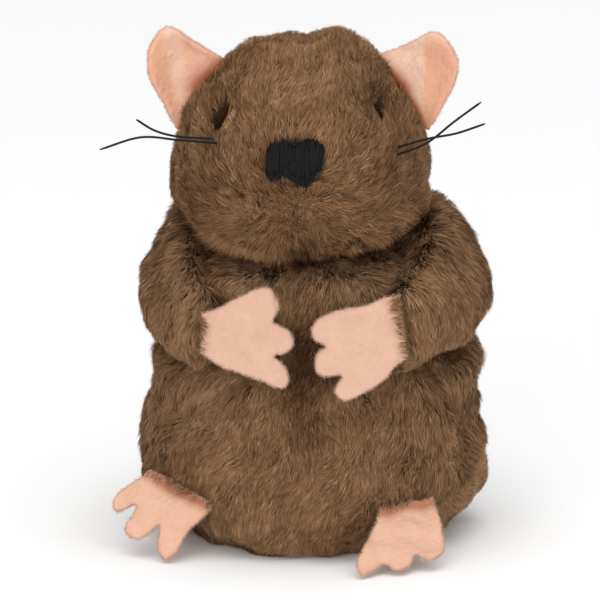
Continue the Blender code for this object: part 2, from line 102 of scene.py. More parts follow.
ARMS = {
    "left": {
        "side": -1,
        "shoulder": (-27.2, 3.0, 56.4),
        "elbow": (-29.6, -18.0, 54.0),
        "wrist": (-22.4, -28.8, 51.3),
        "wrist_half": (4.6, 8.2),
    },
    "right": {
        "side": 1,
        "shoulder": (27.8, 3.0, 57.6),
        "elbow": (29.6, -18.5, 55.0),
        "wrist": (19.4, -29.6, 52.6),
        "wrist_half": (4.6, 8.8),
    },
}
FELT_FRAMES = {
    "left_paw": ((-21.4, -32.0, 51.3), (0.0, 0.2, 0.98), (0.998, -0.06, 0.0122)),
    "right_paw": ((18.2, -32.6, 52.2), (0.0, 0.22, 0.975), (-0.995, -0.1, 0.0226)),
    "left_foot": ((-30.4, -24.0, 13.6), (0.769, -0.533, -0.352), (-0.587, -0.373, -0.718)),
    "right_foot": ((20.9, -31.0, 11.0), (0.949, 0.316, 0.0), (0.245, -0.7355, -0.6326)),
}
# Cut outlines of the felt in its own plane, (along the root edge, along the digits).
FELT_OUTLINES = {
    "left_paw": [
        (-3.4, -2.6), (5.2, -2.6), (5.6, -1.0), (7.1, 2.4), (8.8, 5.5), (10.4, 8.7), (11.1, 11.5), (10.3, 13.1), (8.7, 14.2),
        (7.2, 14.5), (5.3, 13.9), (3.5, 12.8), (2.7, 14.3), (1.7, 16.2), (0.1, 17.3), (-1.5, 17.5), (-3.0, 16.5), (-3.8, 14.7),
        (-3.8, 11.9), (-5.0, 14.0), (-6.5, 15.6), (-8.4, 16.5), (-10.3, 16.3), (-11.3, 15.0), (-10.9, 13.1), (-9.6, 10.6),
        (-8.4, 7.4), (-7.3, 4.3), (-6.5, 1.8), (-5.2, -0.1),
    ],
    "right_paw": [
        (8.6, -1.2), (-5.2, -3.0), (-6.8, -0.7), (-9.1, 1.2), (-11.3, 3.7), (-12.9, 6.6), (-14.1, 9.1), (-14.5, 11.0),
        (-13.5, 12.6), (-11.9, 12.9), (-10.3, 11.9), (-8.6, 10.7), (-9.1, 12.1), (-9.3, 13.8), (-9.1, 15.7), (-8.1, 16.9),
        (-6.2, 17.2), (-4.3, 16.9), (-3.3, 15.7), (-2.9, 13.3), (-2.5, 14.7), (-1.9, 16.6), (-0.8, 17.7), (1.1, 18.0),
        (3.0, 17.0), (4.2, 15.0), (5.4, 11.9), (5.9, 8.8), (6.6, 5.6), (8.1, 1.8),
    ],
    "left_foot": [
        (9.6, -2.8), (-7.8, -1.8), (-8.2, 0.1), (-9.1, 1.9), (-10.2, 4.7), (-10.9, 7.2), (-10.5, 9.1), (-9.4, 10.0), (-8.3, 9.7),
        (-7.3, 8.4), (-6.3, 6.9), (-5.2, 6.2), (-5.0, 7.7), (-4.7, 10.2), (-4.2, 12.3), (-3.2, 13.2), (-1.6, 13.1), (0.2, 12.1),
        (1.2, 10.3), (1.8, 7.3), (2.8, 8.7), (4.2, 11.0), (5.8, 12.7), (7.2, 13.3), (8.3, 12.9), (8.9, 11.7), (9.0, 9.3),
        (8.6, 6.2), (8.7, 3.4), (9.4, 0.8),
    ],
    "right_foot": [
        (7.0, -3.4), (-5.9, -2.0), (-6.4, -0.3), (-7.8, 2.3), (-9.6, 4.8), (-11.4, 7.4), (-13.2, 9.8), (-14.3, 11.6), (-14.4, 13.7),
        (-13.7, 14.8), (-12.5, 14.4), (-10.6, 13.4), (-8.7, 12.3), (-7.7, 12.3), (-6.9, 12.9), (-6.1, 14.2), (-5.1, 14.7),
        (-3.7, 14.2), (-2.2, 13.1), (-0.8, 11.1), (-0.1, 10.6), (0.7, 11.8), (1.9, 12.7), (3.3, 12.7), (4.9, 11.9), (6.0, 10.5),
        (6.6, 8.1), (6.8, 5.5), (7.0, 2.8), (7.0, 0.0),
    ],
}
# Where the pile over each root ends, from one side to the other, in the plane of the felt.
HEM_LINES = {
    "left_paw": ((-6.4, -0.7), (6.2, -1.2)),
    "right_paw": ((8.9, 1.9), (-6.4, -1.7)),
    "left_foot": ((10.3, -1.0), (-8.8, 0.2)),
    "right_foot": ((7.7, -1.9), (-7.2, -0.2)),
}
EAR_RIMS = {
    "left": [
        (-31.4, 92.2), (-33.4, 97.0), (-35.8, 102.4), (-36.4, 108.0), (-34.4, 112.9), (-31.2, 114.7),
        (-27.3, 111.9), (-22.9, 108.4),
    ],
    "right": [
        (27.8, 92.0), (30.2, 97.0), (32.4, 102.4), (32.8, 107.2), (30.3, 111.6), (27.2, 113.6),
        (22.2, 111.0), (17.4, 108.5),
    ],
}
EAR_ROOTS = {"left": (92.6, 106.8), "right": (92.6, 108.2)}
EAR_CUP = 2.4
EAR_FOLD = 24.9  # where the right ear's fold line is, across
WHISKERS = {
    "left_upper_whisker": [(-20.2, -27.0, 93.9), (-28.6, -28.6, 95.0), (-37.2, -27.6, 95.4), (-46.2, -26.0, 92.2)],
    "left_lower_whisker": [(-21.6, -26.0, 94.4), (-29.3, -27.2, 95.5), (-34.2, -26.6, 96.7), (-38.2, -26.0, 99.0)],
    "right_upper_whisker": [(18.9, -27.2, 90.9), (25.3, -28.0, 94.2), (31.2, -27.4, 98.8), (37.2, -26.2, 103.0)],
    "right_lower_whisker": [(19.0, -26.4, 92.4), (25.5, -26.2, 94.7), (31.9, -25.2, 95.7), (38.1, -24.2, 97.6)],
}
# The bent line of each eye, as (across, up) in the main picture's plane, in mm.
EYES = {"left": ((-17.6, 93.6), (-18.6, 90.6), (-20.5, 87.2)), "right": ((13.7, 93.0), (14.5, 91.4), (15.4, 89.8))}
# Painted shade: the pile is painted darker in the hollow under the chin.
CHIN_SHADE = (-2.0, 59.0, 4.0, 2.5)  # the hollow under the chin: its place and half size in the same plane


# ---------------------------------------------------------------- curves and surfaces
def along(levels, t):
    """Smooth curve through the rows of a table, read at t from 0 (first row) to 1 (last row)."""
    rows = np.asarray(levels, float)
    last = len(rows) - 1
    s = np.clip(np.asarray(t, float), 0.0, 1.0) * last
    i = np.minimum(s.astype(int), last - 1)
    f = (s - i)[..., None]
    padded = np.vstack([2 * rows[:1] - rows[1:2], rows, 2 * rows[-1:] - rows[-2:-1]])
    a, b, c, d = padded[i], padded[i + 1], padded[i + 2], padded[i + 3]
    return 0.5 * (2 * b + (c - a) * f + (2 * a - 5 * b + 4 * c - d) * f**2 + (3 * b - 3 * c + d - a) * f**3)


def level_surface(levels, theta, t):
    z, half_x, front, back, cx, cy = np.moveaxis(along(levels, t), -1, 0)
    sine = np.sin(theta)
    depth = np.where(sine < 0, front, back)
    x = cx + half_x * np.cos(theta)
    y = cy + depth * sine
    return np.stack([x, y, z + 0 * x], axis=-1)


def torso_surface(theta, t):
    return level_surface(TORSO_LEVELS, theta, t)


def head_surface(theta, t):
    points = level_surface(HEAD_LEVELS, theta, t)
    x, z, reach, spread = SNOUT
    away = ((points[..., 0] - x) ** 2 + (points[..., 2] - z) ** 2) / (2 * spread**2)
    points[..., 1] -= np.where(points[..., 1] < -20, reach * np.exp(-away), 0.0)
    return points


def head_half_width(z):
    rows = along(HEAD_LEVELS, np.linspace(0.35, 1.0, 200))
    return float(np.interp(z, rows[:, 0], rows[:, 1]))


def face_y(x, z):
    rows = along(HEAD_LEVELS, np.linspace(0.3, 1.0, 300))
    half = np.interp(z, rows[:, 0], rows[:, 1])
    front = np.interp(z, rows[:, 0], rows[:, 2])
    inside = np.clip(1 - ((x - HEAD_CENTRE[0]) / half) ** 2, 0.0, 1.0)
    y = HEAD_CENTRE[1] - front * np.sqrt(inside)
    away = ((x - SNOUT[0]) ** 2 + (z - SNOUT[1]) ** 2) / (2 * SNOUT[3] ** 2)
    return y - SNOUT[2] * np.exp(-away)


def on_face(u, v):
    """The height of the point of the face that is seen at this place of the picture's plane."""
    z = np.asarray(v, float) / UP[2]
    for _ in range(8):
        z = (v - UP[1] * face_y(u, z)) / UP[2]
    return z


def arm_spine(arm, u):
    u = np.asarray(u, float)[..., None]
    a, b, c = (np.array(arm[k]) for k in ("shoulder", "elbow", "wrist"))
    centre = (1 - u) ** 2 * a + 2 * u * (1 - u) * b + u**2 * c
    tangent = 2 * (1 - u) * (b - a) + 2 * u * (c - b)
    tangent[..., 2] = 0
    tangent /= np.linalg.norm(tangent, axis=-1, keepdims=True)
    ease = (u * u * (3 - 2 * u))[..., 0]
    width = ARM_RADIUS + (arm["wrist_half"][0] - ARM_RADIUS) * ease
    height = ARM_HEIGHT + (arm["wrist_half"][1] - ARM_HEIGHT) * ease
    return centre, tangent, width, height


def arm_rings(arm, count, angles, back_rings):
    back = np.cos(np.linspace(math.radians(8), math.radians(82), back_rings))
    shoulder, tangent, _, _ = arm_spine(arm, np.zeros(1))
    outward = np.array([-tangent[0, 1], tangent[0, 0], 0.0]) * arm["side"]
    rings = []
    for reach in back:
        size = math.sqrt(1 - reach * reach)
        rings.append((shoulder[0] - reach * ARM_RADIUS * tangent[0], outward, size * ARM_RADIUS, size * ARM_HEIGHT))
    for centre, along_it, width, height in zip(*arm_spine(arm, np.linspace(0, 1, count))):
        side = np.array([-along_it[1], along_it[0], 0.0]) * arm["side"]
        rings.append((centre, side, width, height))
    return np.array(
        [
            centre
            + np.cos(angles)[:, None] * width * side
            + np.sin(angles)[:, None] * height * np.array([0.0, 0.0, 1.0])
            for centre, side, width, height in rings
        ]
    )


def inside_arms(points, gap):
    """Whether each point is inside the space that an arm fills as it swings out."""
    hit = np.zeros(points.shape[:-1], bool)
    for arm in ARMS.values():
        centre, _, width, height = arm_spine(arm, np.linspace(0, 1, 13))
        pivot = np.array(arm["shoulder"])
        for swing in np.linspace(0, SWING_DEG, 6):
            turn = math.radians(swing) * arm["side"]
            offset = centre - pivot
            x = offset[:, 0] * math.cos(turn) - offset[:, 1] * math.sin(turn)
            y = offset[:, 0] * math.sin(turn) + offset[:, 1] * math.cos(turn)
            moved = np.stack([x, y, offset[:, 2]], axis=-1) + pivot
            for c, w, h in zip(moved, width, height):
                d = points - c
                flat = (d[..., 0] ** 2 + d[..., 1] ** 2) / (w + gap) ** 2
                hit |= flat + d[..., 2] ** 2 / (h + gap) ** 2 < 1
    return hit


def around(grid, combine):
    """Combines each value with its eight neighbours; the columns run all the way round."""
    tall = np.pad(grid, ((1, 1), (0, 0)), mode="edge")
    wide = np.concatenate([tall[:, -1:], tall, tall[:, :1]], axis=1)
    rows, columns = grid.shape
    near = [wide[r : r + rows, c : c + columns] for r in range(3) for c in range(3)]
    return combine(np.array(near), axis=0)


def clear_of_arms(points, centre, gap, softenings=5):
    """Draws a closed grid of points in towards the centre until it is clear of the arms, with soft edges."""
    rays = points - centre
    steps = np.linspace(0.25, 1.0, 120)
    samples = centre + rays[..., None, :] * steps[:, None]
    hit = inside_arms(samples, gap)
    first = np.argmax(hit, axis=-1)
    share = np.where(hit.any(axis=-1), steps[np.maximum(first - 1, 0)], 1.0)
    share = around(share, np.min)
    for _ in range(softenings):
        share = around(share, np.mean)
    return centre + rays * share[..., None]


def towards(points, centre, amount):
    rays = points - centre
    length = np.linalg.norm(rays, axis=-1, keepdims=True)
    return centre + rays * (1 - amount / length)


def unit(v):
    return v / np.maximum(np.linalg.norm(v, axis=-1, keepdims=True), 1e-12)


def ripple(points, size, seed, waves=14):
    """Smooth, uneven waves over points in space, about from -1 to 1, with features of about that size in mm."""
    rng = np.random.default_rng(seed)
    total = 0.0
    for _ in range(waves):
        direction = unit(rng.normal(size=3)) * (2 * math.pi / (size * rng.uniform(0.7, 1.6)))
        total = total + np.sin(points @ direction + rng.uniform(0, 2 * math.pi))
    return total / math.sqrt(waves / 1.6)


# ---------------------------------------------------------------- meshes
def build(name, points, faces, material, smooth=True):
    """A mesh object from points in mm and faces."""
    mesh = bpy.data.meshes.new(name)
    mesh.from_pydata((np.asarray(points, float) * MM).tolist(), [], [list(map(int, f)) for f in faces])
    mesh.validate()
    if smooth:
        mesh.shade_smooth()
    obj = bpy.data.objects.new(name, mesh)
    bpy.context.scene.collection.objects.link(obj)
    mesh.materials.append(material)
    return obj


def grid_faces(rows, columns, closed, start=0):
    grid = start + np.arange(rows * columns).reshape(rows, columns)
    if closed:
        grid = np.concatenate([grid, grid[:, :1]], axis=1)
    return np.stack([grid[:-1, :-1], grid[:-1, 1:], grid[1:, 1:], grid[1:, :-1]], -1).reshape(-1, 4)


def grid_normals(points, closed):
    """Outward unit normals of a grid of points whose centre is inside it."""
    wide = np.concatenate([points[:, -1:], points, points[:, :1]], axis=1) if closed else np.pad(points, ((0, 0), (1, 1), (0, 0)), mode="edge")
    tall = np.pad(points, ((1, 1), (0, 0), (0, 0)), mode="edge")
    normal = unit(np.cross(wide[:, 2:] - wide[:, :-2], tall[2:] - tall[:-2]))
    centre = points.reshape(-1, 3).mean(axis=0)
    sign = np.sign(((points - centre) * normal).sum(-1, keepdims=True).mean())
    return normal * sign


def shell(outer, inner):
    """A closed thin shell between two matching open grids, with quads."""
    rows, columns = outer.shape[:2]
    points = np.concatenate([outer.reshape(-1, 3), inner.reshape(-1, 3)])
    count = rows * columns
    top = grid_faces(rows, columns, False)
    faces = [*top.tolist(), *[[f[3] + count, f[2] + count, f[1] + count, f[0] + count] for f in top.tolist()]]
    grid = np.arange(count).reshape(rows, columns)
    rim = [*grid[0, :], *grid[1:, -1], *grid[-1, -2::-1], *grid[-2:0:-1, 0]]
    for a, b in zip(rim, rim[1:] + rim[:1]):
        faces.append([b, a, a + count, b + count])
    return points, faces


SKINS = {}


def note_skin(body, grid):
    """Keeps a skin's surface, so that pile can be laid on it."""
    faces = grid_faces(*grid.shape[:2], False).tolist()
    SKINS.setdefault(body, []).append(BVHTree.FromPolygons(grid.reshape(-1, 3).tolist(), faces))


def face_outwards(obj):
    work = bmesh.new()
    work.from_mesh(obj.data)
    bmesh.ops.recalc_face_normals(work, faces=work.faces)
    work.to_mesh(obj.data)
    work.free()


def evaluated_points(obj):
    graph = bpy.context.evaluated_depsgraph_get()
    mesh = obj.evaluated_get(graph).to_mesh()
    co = np.empty(len(mesh.vertices) * 3, np.float32)
    mesh.vertices.foreach_get("co", co)
    obj.evaluated_get(graph).to_mesh_clear()
    return co.reshape(-1, 3).astype(float)


def finer(grid):
    """The same surface with twice as many rows and columns; the columns run all the way round."""
    wide = np.concatenate([grid[:, -1:], grid, grid[:, :2]], axis=1)
    between = (9 * (wide[:, 1:-2] + wide[:, 2:-1]) - wide[:, :-3] - wide[:, 3:]) / 16
    rows, columns = grid.shape[:2]
    across = np.empty((rows, 2 * columns, 3))
    across[:, 0::2], across[:, 1::2] = grid, between
    tall = np.concatenate([2 * across[:1] - across[1:2], across, 2 * across[-1:] - across[-2:-1]])
    between = (9 * (tall[1:-2] + tall[2:-1]) - tall[:-3] - tall[3:]) / 16
    made = np.empty((2 * rows - 1, 2 * columns, 3))
    made[0::2], made[1::2] = across, between
    return made


def puffed(name, grid, pins, most):
    """The grid of points of a sewn skin after its filling has pushed it out between the seams.

    Cloth simulation at ten times the size, with the pinned points held, and each point's move kept under most mm.
    """
    rows, columns = grid.shape[:2]
    flat = grid.reshape(-1, 3)
    faces = grid_faces(rows, columns, True).tolist()
    mesh = bpy.data.meshes.new(name)
    mesh.from_pydata((flat * 0.01).tolist(), [], faces)
    mesh.validate()
    obj = bpy.data.objects.new(name, mesh)
    bpy.context.scene.collection.objects.link(obj)
    face_outwards(obj)
    group = obj.vertex_groups.new(name="seams")
    group.add([int(k) for k in np.flatnonzero(pins.reshape(-1))], 1.0, "REPLACE")
    cloth = obj.modifiers.new("filling", "CLOTH")
    cloth.settings.quality = 5
    cloth.settings.mass = 0.3
    cloth.settings.tension_stiffness = 15
    cloth.settings.compression_stiffness = 15
    cloth.settings.shear_stiffness = 5
    cloth.settings.bending_stiffness = 0.5
    cloth.settings.use_pressure = True
    cloth.settings.uniform_pressure_force = 4.0
    cloth.settings.effector_weights.gravity = 0.0
    cloth.settings.vertex_group_mass = "seams"
    cloth.point_cache.frame_start = 1
    cloth.point_cache.frame_end = 20
    for step in range(1, 21):
        bpy.context.scene.frame_set(step)
    moved = evaluated_points(obj) * 100.0
    bpy.context.scene.frame_set(1)
    bpy.data.objects.remove(obj)
    bpy.data.meshes.remove(mesh)
    if moved.shape != flat.shape or not np.isfinite(moved).all():
        return grid
    move = moved - flat
    size = np.linalg.norm(move, axis=1, keepdims=True)
    move *= most * np.tanh(size / most) / np.maximum(size, 1e-9)
    return (flat + move).reshape(grid.shape)


# ---------------------------------------------------------------- materials
def new_material(name):
    material = bpy.data.materials.new(name)
    material.use_nodes = True
    tree = material.node_tree
    return material, tree, tree.nodes["Principled BSDF"]


def node(tree, kind, **settings):
    made = tree.nodes.new(kind)
    for key, value in settings.items():
        if key.startswith("in_"):
            made.inputs[key[3:].replace("_", " ")].default_value = value
        else:
            setattr(made, key, value)
    return made


def ramp(tree, source, stops, interpolation="LINEAR"):
    made = tree.nodes.new("ShaderNodeValToRGB")
    made.color_ramp.interpolation = interpolation
    while len(made.color_ramp.elements) < len(stops):
        made.color_ramp.elements.new(0.5)
    for element, (place, colour) in zip(made.color_ramp.elements, stops):
        element.position = place
        element.color = (*colour, 1.0)
    tree.links.new(source, made.inputs["Fac"])
    return made.outputs["Color"]


def mixed(tree, kind, factor, first, second):
    made = tree.nodes.new("ShaderNodeMix")
    made.data_type = "RGBA"
    made.blend_type = kind
    made.clamp_factor = True
    for socket, value in ((made.inputs["Factor"], factor), (made.inputs["A"], None), (made.inputs["B"], None)):
        if value is None:
            continue
        if isinstance(value, bpy.types.NodeSocket):
            tree.links.new(value, socket)
        else:
            socket.default_value = value
    colour_inputs = [s for s in made.inputs if s.type == "RGBA"]
    for socket, value in zip(colour_inputs, (first, second)):
        if isinstance(value, bpy.types.NodeSocket):
            tree.links.new(value, socket)
        else:
            socket.default_value = (*value, 1.0)
    return next(s for s in made.outputs if s.type == "RGBA")


def grey(*stops):
    return [(place, (value, value, value)) for place, value in stops]


def pile_material(name, stops, roots):
    """Pile: its colour is set by each strand's tone (across its map) and by the place along it (up its map), with
    painted shade darker towards the root and the tip a little lighter.
    """
    material, tree, shader = new_material(name)
    uv = node(tree, "ShaderNodeUVMap", uv_map="OFBake")
    split = tree.nodes.new("ShaderNodeSeparateXYZ")
    tree.links.new(uv.outputs["UV"], split.inputs[0])
    base = ramp(tree, split.outputs["X"], stops)
    noise = node(tree, "ShaderNodeTexNoise", noise_dimensions="1D", in_Scale=90.0, in_Detail=2.0)
    tree.links.new(split.outputs["X"], noise.inputs["W"])
    tint = ramp(tree, noise.outputs["Fac"], [(0.3, (1.0, 0.93, 0.86)), (0.55, (1.0, 1.0, 1.0)), (0.75, (0.93, 0.98, 1.03))])
    colour = mixed(tree, "MULTIPLY", 1.0, base, tint)
    # Painted shade in the pile: each strand is darker towards its root and a little lighter at its tip.
    length = ramp(tree, split.outputs["Y"], roots)
    colour = mixed(tree, "MULTIPLY", 1.0, colour, length)
    tree.links.new(colour, shader.inputs["Base Color"])
    shader.inputs["Roughness"].default_value = 0.7
    shader.inputs["Specular IOR Level"].default_value = 0.12
    return material


def fabric_material(name, dark, light, scale, bump=0.3):
    """Woven or knitted backing cloth, plain fibres crossing at right angles."""
    material, tree, shader = new_material(name)
    coords = tree.nodes.new("ShaderNodeTexCoord")
    waves = []
    for direction in ("X", "Z"):
        wave = node(tree, "ShaderNodeTexWave", wave_type="BANDS", bands_direction=direction, in_Scale=scale, in_Distortion=1.2, in_Detail=2.0)
        tree.links.new(coords.outputs["Object"], wave.inputs["Vector"])
        waves.append(wave.outputs["Fac"])
    both = mixed(tree, "MULTIPLY", 1.0, waves[0], waves[1])
    colour = ramp(tree, both, [(0.0, dark), (1.0, light)])
    tree.links.new(colour, shader.inputs["Base Color"])
    shader.inputs["Roughness"].default_value = 0.95
    bumps = node(tree, "ShaderNodeBump", in_Strength=bump, in_Distance=0.0004)
    tree.links.new(both, bumps.inputs["Height"])
    tree.links.new(bumps.outputs["Normal"], shader.inputs["Normal"])
    return material


def felt_material(name, dark, light, root, deep=None):
    """Pressed felt: tangled fine fibres, soft blotches, a painted warm shade where it goes into the pile, and, where a
    colour is given for it, a painted shade deep in the cup.
    """
    material, tree, shader = new_material(name)
    coords = tree.nodes.new("ShaderNodeTexCoord")
    blotch = node(tree, "ShaderNodeTexNoise", in_Scale=260.0, in_Detail=3.0, in_Roughness=0.55)
    fine = node(tree, "ShaderNodeTexNoise", in_Scale=2600.0, in_Detail=4.0, in_Roughness=0.7, in_Distortion=1.6)
    fibres = node(tree, "ShaderNodeTexNoise", in_Scale=900.0, in_Detail=5.0, in_Roughness=0.75, in_Distortion=3.0)
    for source in (blotch, fine, fibres):
        tree.links.new(coords.outputs["Object"], source.inputs["Vector"])
    shade = mixed(tree, "MIX", 0.5, blotch.outputs["Fac"], fibres.outputs["Fac"])
    colour = ramp(tree, shade, [(0.32, dark), (0.68, light)])
    speckle = ramp(tree, fine.outputs["Fac"], grey((0.3, 0.9), (0.7, 1.05)))
    colour = mixed(tree, "MULTIPLY", 1.0, colour, speckle)
    # Painted shade deep in the ear's cup.
    if deep is not None:
        inner = node(tree, "ShaderNodeAttribute", attribute_name="in_cup")
        colour = mixed(tree, "MIX", inner.outputs["Fac"], colour, mixed(tree, "MULTIPLY", 1.0, deep, speckle))
    # Painted shade where the felt goes into the pile.
    near = node(tree, "ShaderNodeAttribute", attribute_name="root_shade")
    colour = mixed(tree, "MIX", near.outputs["Fac"], colour, root)
    tree.links.new(colour, shader.inputs["Base Color"])
    shader.inputs["Roughness"].default_value = 0.95
    shader.inputs["Specular IOR Level"].default_value = 0.2
    shader.inputs["Sheen Weight"].default_value = 0.08
    shader.inputs["Sheen Roughness"].default_value = 0.5
    shader.inputs["Sheen Tint"].default_value = (1.0, 0.86, 0.78, 1.0)
    height = mixed(tree, "MIX", 0.5, fine.outputs["Fac"], fibres.outputs["Fac"])
    bumps = node(tree, "ShaderNodeBump", in_Strength=0.55, in_Distance=0.0003)
    tree.links.new(height, bumps.inputs["Height"])
    tree.links.new(bumps.outputs["Normal"], shader.inputs["Normal"])
    return material


def thread_material(name, colour, crest_highlight, roughness, scale=2600.0):
    """Twisted thread: slanting strands, with a painted highlight along their crests."""
    material, tree, shader = new_material(name)
    coords = tree.nodes.new("ShaderNodeTexCoord")
    wave = node(tree, "ShaderNodeTexWave", wave_type="BANDS", bands_direction="DIAGONAL", in_Scale=scale, in_Distortion=2.0, in_Detail=2.0)
    tree.links.new(coords.outputs["Object"], wave.inputs["Vector"])
    # The crests of the twist are painted lighter: a painted highlight.
    tree.links.new(ramp(tree, wave.outputs["Fac"], [(0.2, colour), (1.0, crest_highlight)]), shader.inputs["Base Color"])
    shader.inputs["Roughness"].default_value = roughness
    shader.inputs["Specular IOR Level"].default_value = 0.13
    bumps = node(tree, "ShaderNodeBump", in_Strength=0.4, in_Distance=0.0002)
    tree.links.new(wave.outputs["Fac"], bumps.inputs["Height"])
    tree.links.new(bumps.outputs["Normal"], shader.inputs["Normal"])
    return material


def filling_material(name, dark, light):
    """Loose fibre filling."""
    material, tree, shader = new_material(name)
    coords = tree.nodes.new("ShaderNodeTexCoord")
    fibres = node(tree, "ShaderNodeTexNoise", in_Scale=420.0, in_Detail=8.0, in_Roughness=0.75, in_Distortion=4.0)
    tree.links.new(coords.outputs["Object"], fibres.inputs["Vector"])
    tree.links.new(ramp(tree, fibres.outputs["Fac"], [(0.35, dark), (0.65, light)]), shader.inputs["Base Color"])
    shader.inputs["Roughness"].default_value = 1.0
    bumps = node(tree, "ShaderNodeBump", in_Strength=0.8, in_Distance=0.0008)
    tree.links.new(fibres.outputs["Fac"], bumps.inputs["Height"])
    tree.links.new(bumps.outputs["Normal"], shader.inputs["Normal"])
    return material


BROWNS = [
    (0.0, (0.034, 0.013, 0.004)),
    (0.28, (0.112, 0.052, 0.021)),
    (0.55, (0.250, 0.132, 0.062)),
    (0.80, (0.395, 0.238, 0.130)),
    (1.0, (0.580, 0.395, 0.258)),
]
# The second ramp paints shade at the roots of the strands and makes their tips a little lighter.
PILE = pile_material("brown_pile", BROWNS, grey((0.0, 0.40), (0.3, 0.72), (0.65, 1.0), (1.0, 1.10)))
BACK_CLOTH = fabric_material("pile_backing", (0.016, 0.007, 0.003), (0.036, 0.018, 0.009), 900.0)
# The fourth colour of each felt is its painted shade where it goes into the pile; the ear's fifth is its painted shade
# in the cup.
EAR_FELT = felt_material("ear_felt", (0.74, 0.47, 0.345), (0.82, 0.555, 0.43), (0.26, 0.050, 0.012), (0.73, 0.385, 0.245))
PAW_FELT = felt_material("paw_felt", (0.575, 0.345, 0.250), (0.655, 0.415, 0.310), (0.42, 0.17, 0.09))
FOOT_FELT = felt_material("foot_felt", (0.65, 0.37, 0.255), (0.725, 0.445, 0.32), (0.36, 0.12, 0.055))
# The second colour of each thread is the painted highlight on the crests of its twist.
BLACK_THREAD = thread_material("black_thread", (0.003, 0.003, 0.003), (0.010, 0.010, 0.011), 0.55)
WHISKER_THREAD = thread_material("whisker_thread", (0.006, 0.006, 0.006), (0.014, 0.013, 0.012), 0.5, 1800.0)
BROWN_THREAD = thread_material("brown_thread", (0.06, 0.032, 0.018), (0.11, 0.062, 0.036), 0.6)
FILLING = filling_material("fibre_filling", (0.62, 0.61, 0.58), (0.86, 0.85, 0.83))
POUCH_CLOTH = fabric_material("pouch_cloth", (0.42, 0.38, 0.28), (0.66, 0.60, 0.47), 700.0)


# ---------------------------------------------------------------- combing
def view_guides(rows):
    """Guides from (across, up, angle) in the view plane, in mm and degrees."""
    table = np.array(rows, float)
    angle = np.radians(table[:, 2])
    return table[:, :2], np.stack([np.cos(angle), np.sin(angle)], -1)


def at_pixel(px, py, angle):
    """One guide, with its place read off the picture's frame of 600 by 600 and turned into mm."""
    return (px - 311) * 0.22, (524.7 - py) * 0.22, angle


HEAD_GUIDES = view_guides(
    [
        at_pixel(*g)
        for g in [
            # forehead, upwards and a little towards the crown
            (216, 84, 62), (240, 62, 60), (262, 62, 70), (300, 50, 82), (330, 55, 92), (350, 62, 100), (372, 62, 100),
            (218, 106, 70), (262, 95, 78), (306, 95, 78), (350, 95, 98), (380, 90, 102), (400, 84, 108),
            (240, 120, 92), (262, 125, 100), (284, 120, 76), (306, 120, 82), (328, 120, 90), (350, 125, 96), (394, 112, 104),
            # round the nose
            (250, 150, 84), (250, 170, 110), (240, 185, 118), (345, 150, 72), (350, 172, 40), (372, 150, 60), (394, 140, 66),
            (394, 172, 38), (416, 140, 66), (416, 172, 46), (372, 172, 34), (345, 192, 6), (372, 200, 2), (394, 200, 22), (418, 205, 30),
            # left cheek
            (196, 128, 108), (185, 150, 112), (218, 150, 116), (218, 172, 124), (196, 172, 112), (240, 205, 128), (218, 194, 140),
            (185, 194, 118), (200, 216, 150), (225, 225, 176), (180, 220, 120), (240, 240, 208),
            # chin and jaw
            (262, 200, 120), (285, 196, 88), (262, 235, 236), (284, 240, 258), (306, 240, 288), (328, 232, 328), (350, 235, 350),
            (372, 225, 2), (394, 225, 12), (345, 256, 330), (320, 262, 306), (290, 262, 268), (262, 262, 246), (225, 258, 232),
            (195, 250, 232), (390, 245, 340), (415, 225, 8), (372, 252, 338),
        ]
    ]
)
TORSO_GUIDES = view_guides(
    [
        at_pixel(*g)
        for g in [
            (220, 285, 236), (245, 282, 250), (284, 285, 262), (306, 285, 268), (330, 285, 274), (360, 285, 284), (390, 285, 296),
            (284, 310, 252), (306, 320, 252), (300, 350, 262), (306, 380, 262), (330, 395, 262), (284, 400, 240),
            (152, 392, 256), (152, 430, 262), (152, 470, 270), (174, 400, 250), (174, 440, 246), (185, 470, 252),
            (196, 410, 240), (196, 440, 236), (218, 410, 226), (218, 440, 230), (218, 470, 236), (240, 414, 232), (240, 440, 246),
            (262, 414, 262), (262, 440, 266), (284, 430, 280), (306, 430, 284), (328, 430, 286), (350, 430, 282), (372, 430, 256),
            (372, 410, 262), (394, 400, 246), (394, 430, 250), (416, 410, 258), (460, 400, 272), (478, 430, 276), (438, 400, 270),
            (262, 470, 256), (284, 470, 252), (306, 460, 252), (328, 460, 246), (350, 460, 234), (372, 460, 232), (394, 460, 232),
            (416, 450, 205), (440, 440, 300), (460, 450, 282), (440, 470, 250), (462, 480, 272), (480, 470, 268),
            (240, 500, 250), (262, 500, 236), (284, 500, 230), (306, 500, 228), (328, 500, 230), (350, 500, 228), (372, 500, 232),
            (400, 495, 240), (425, 495, 262), (455, 500, 262), (218, 500, 252), (190, 490, 248), (240, 525, 240), (284, 530, 232), (328, 530, 240), (372, 530, 234),
        ]
    ]
)
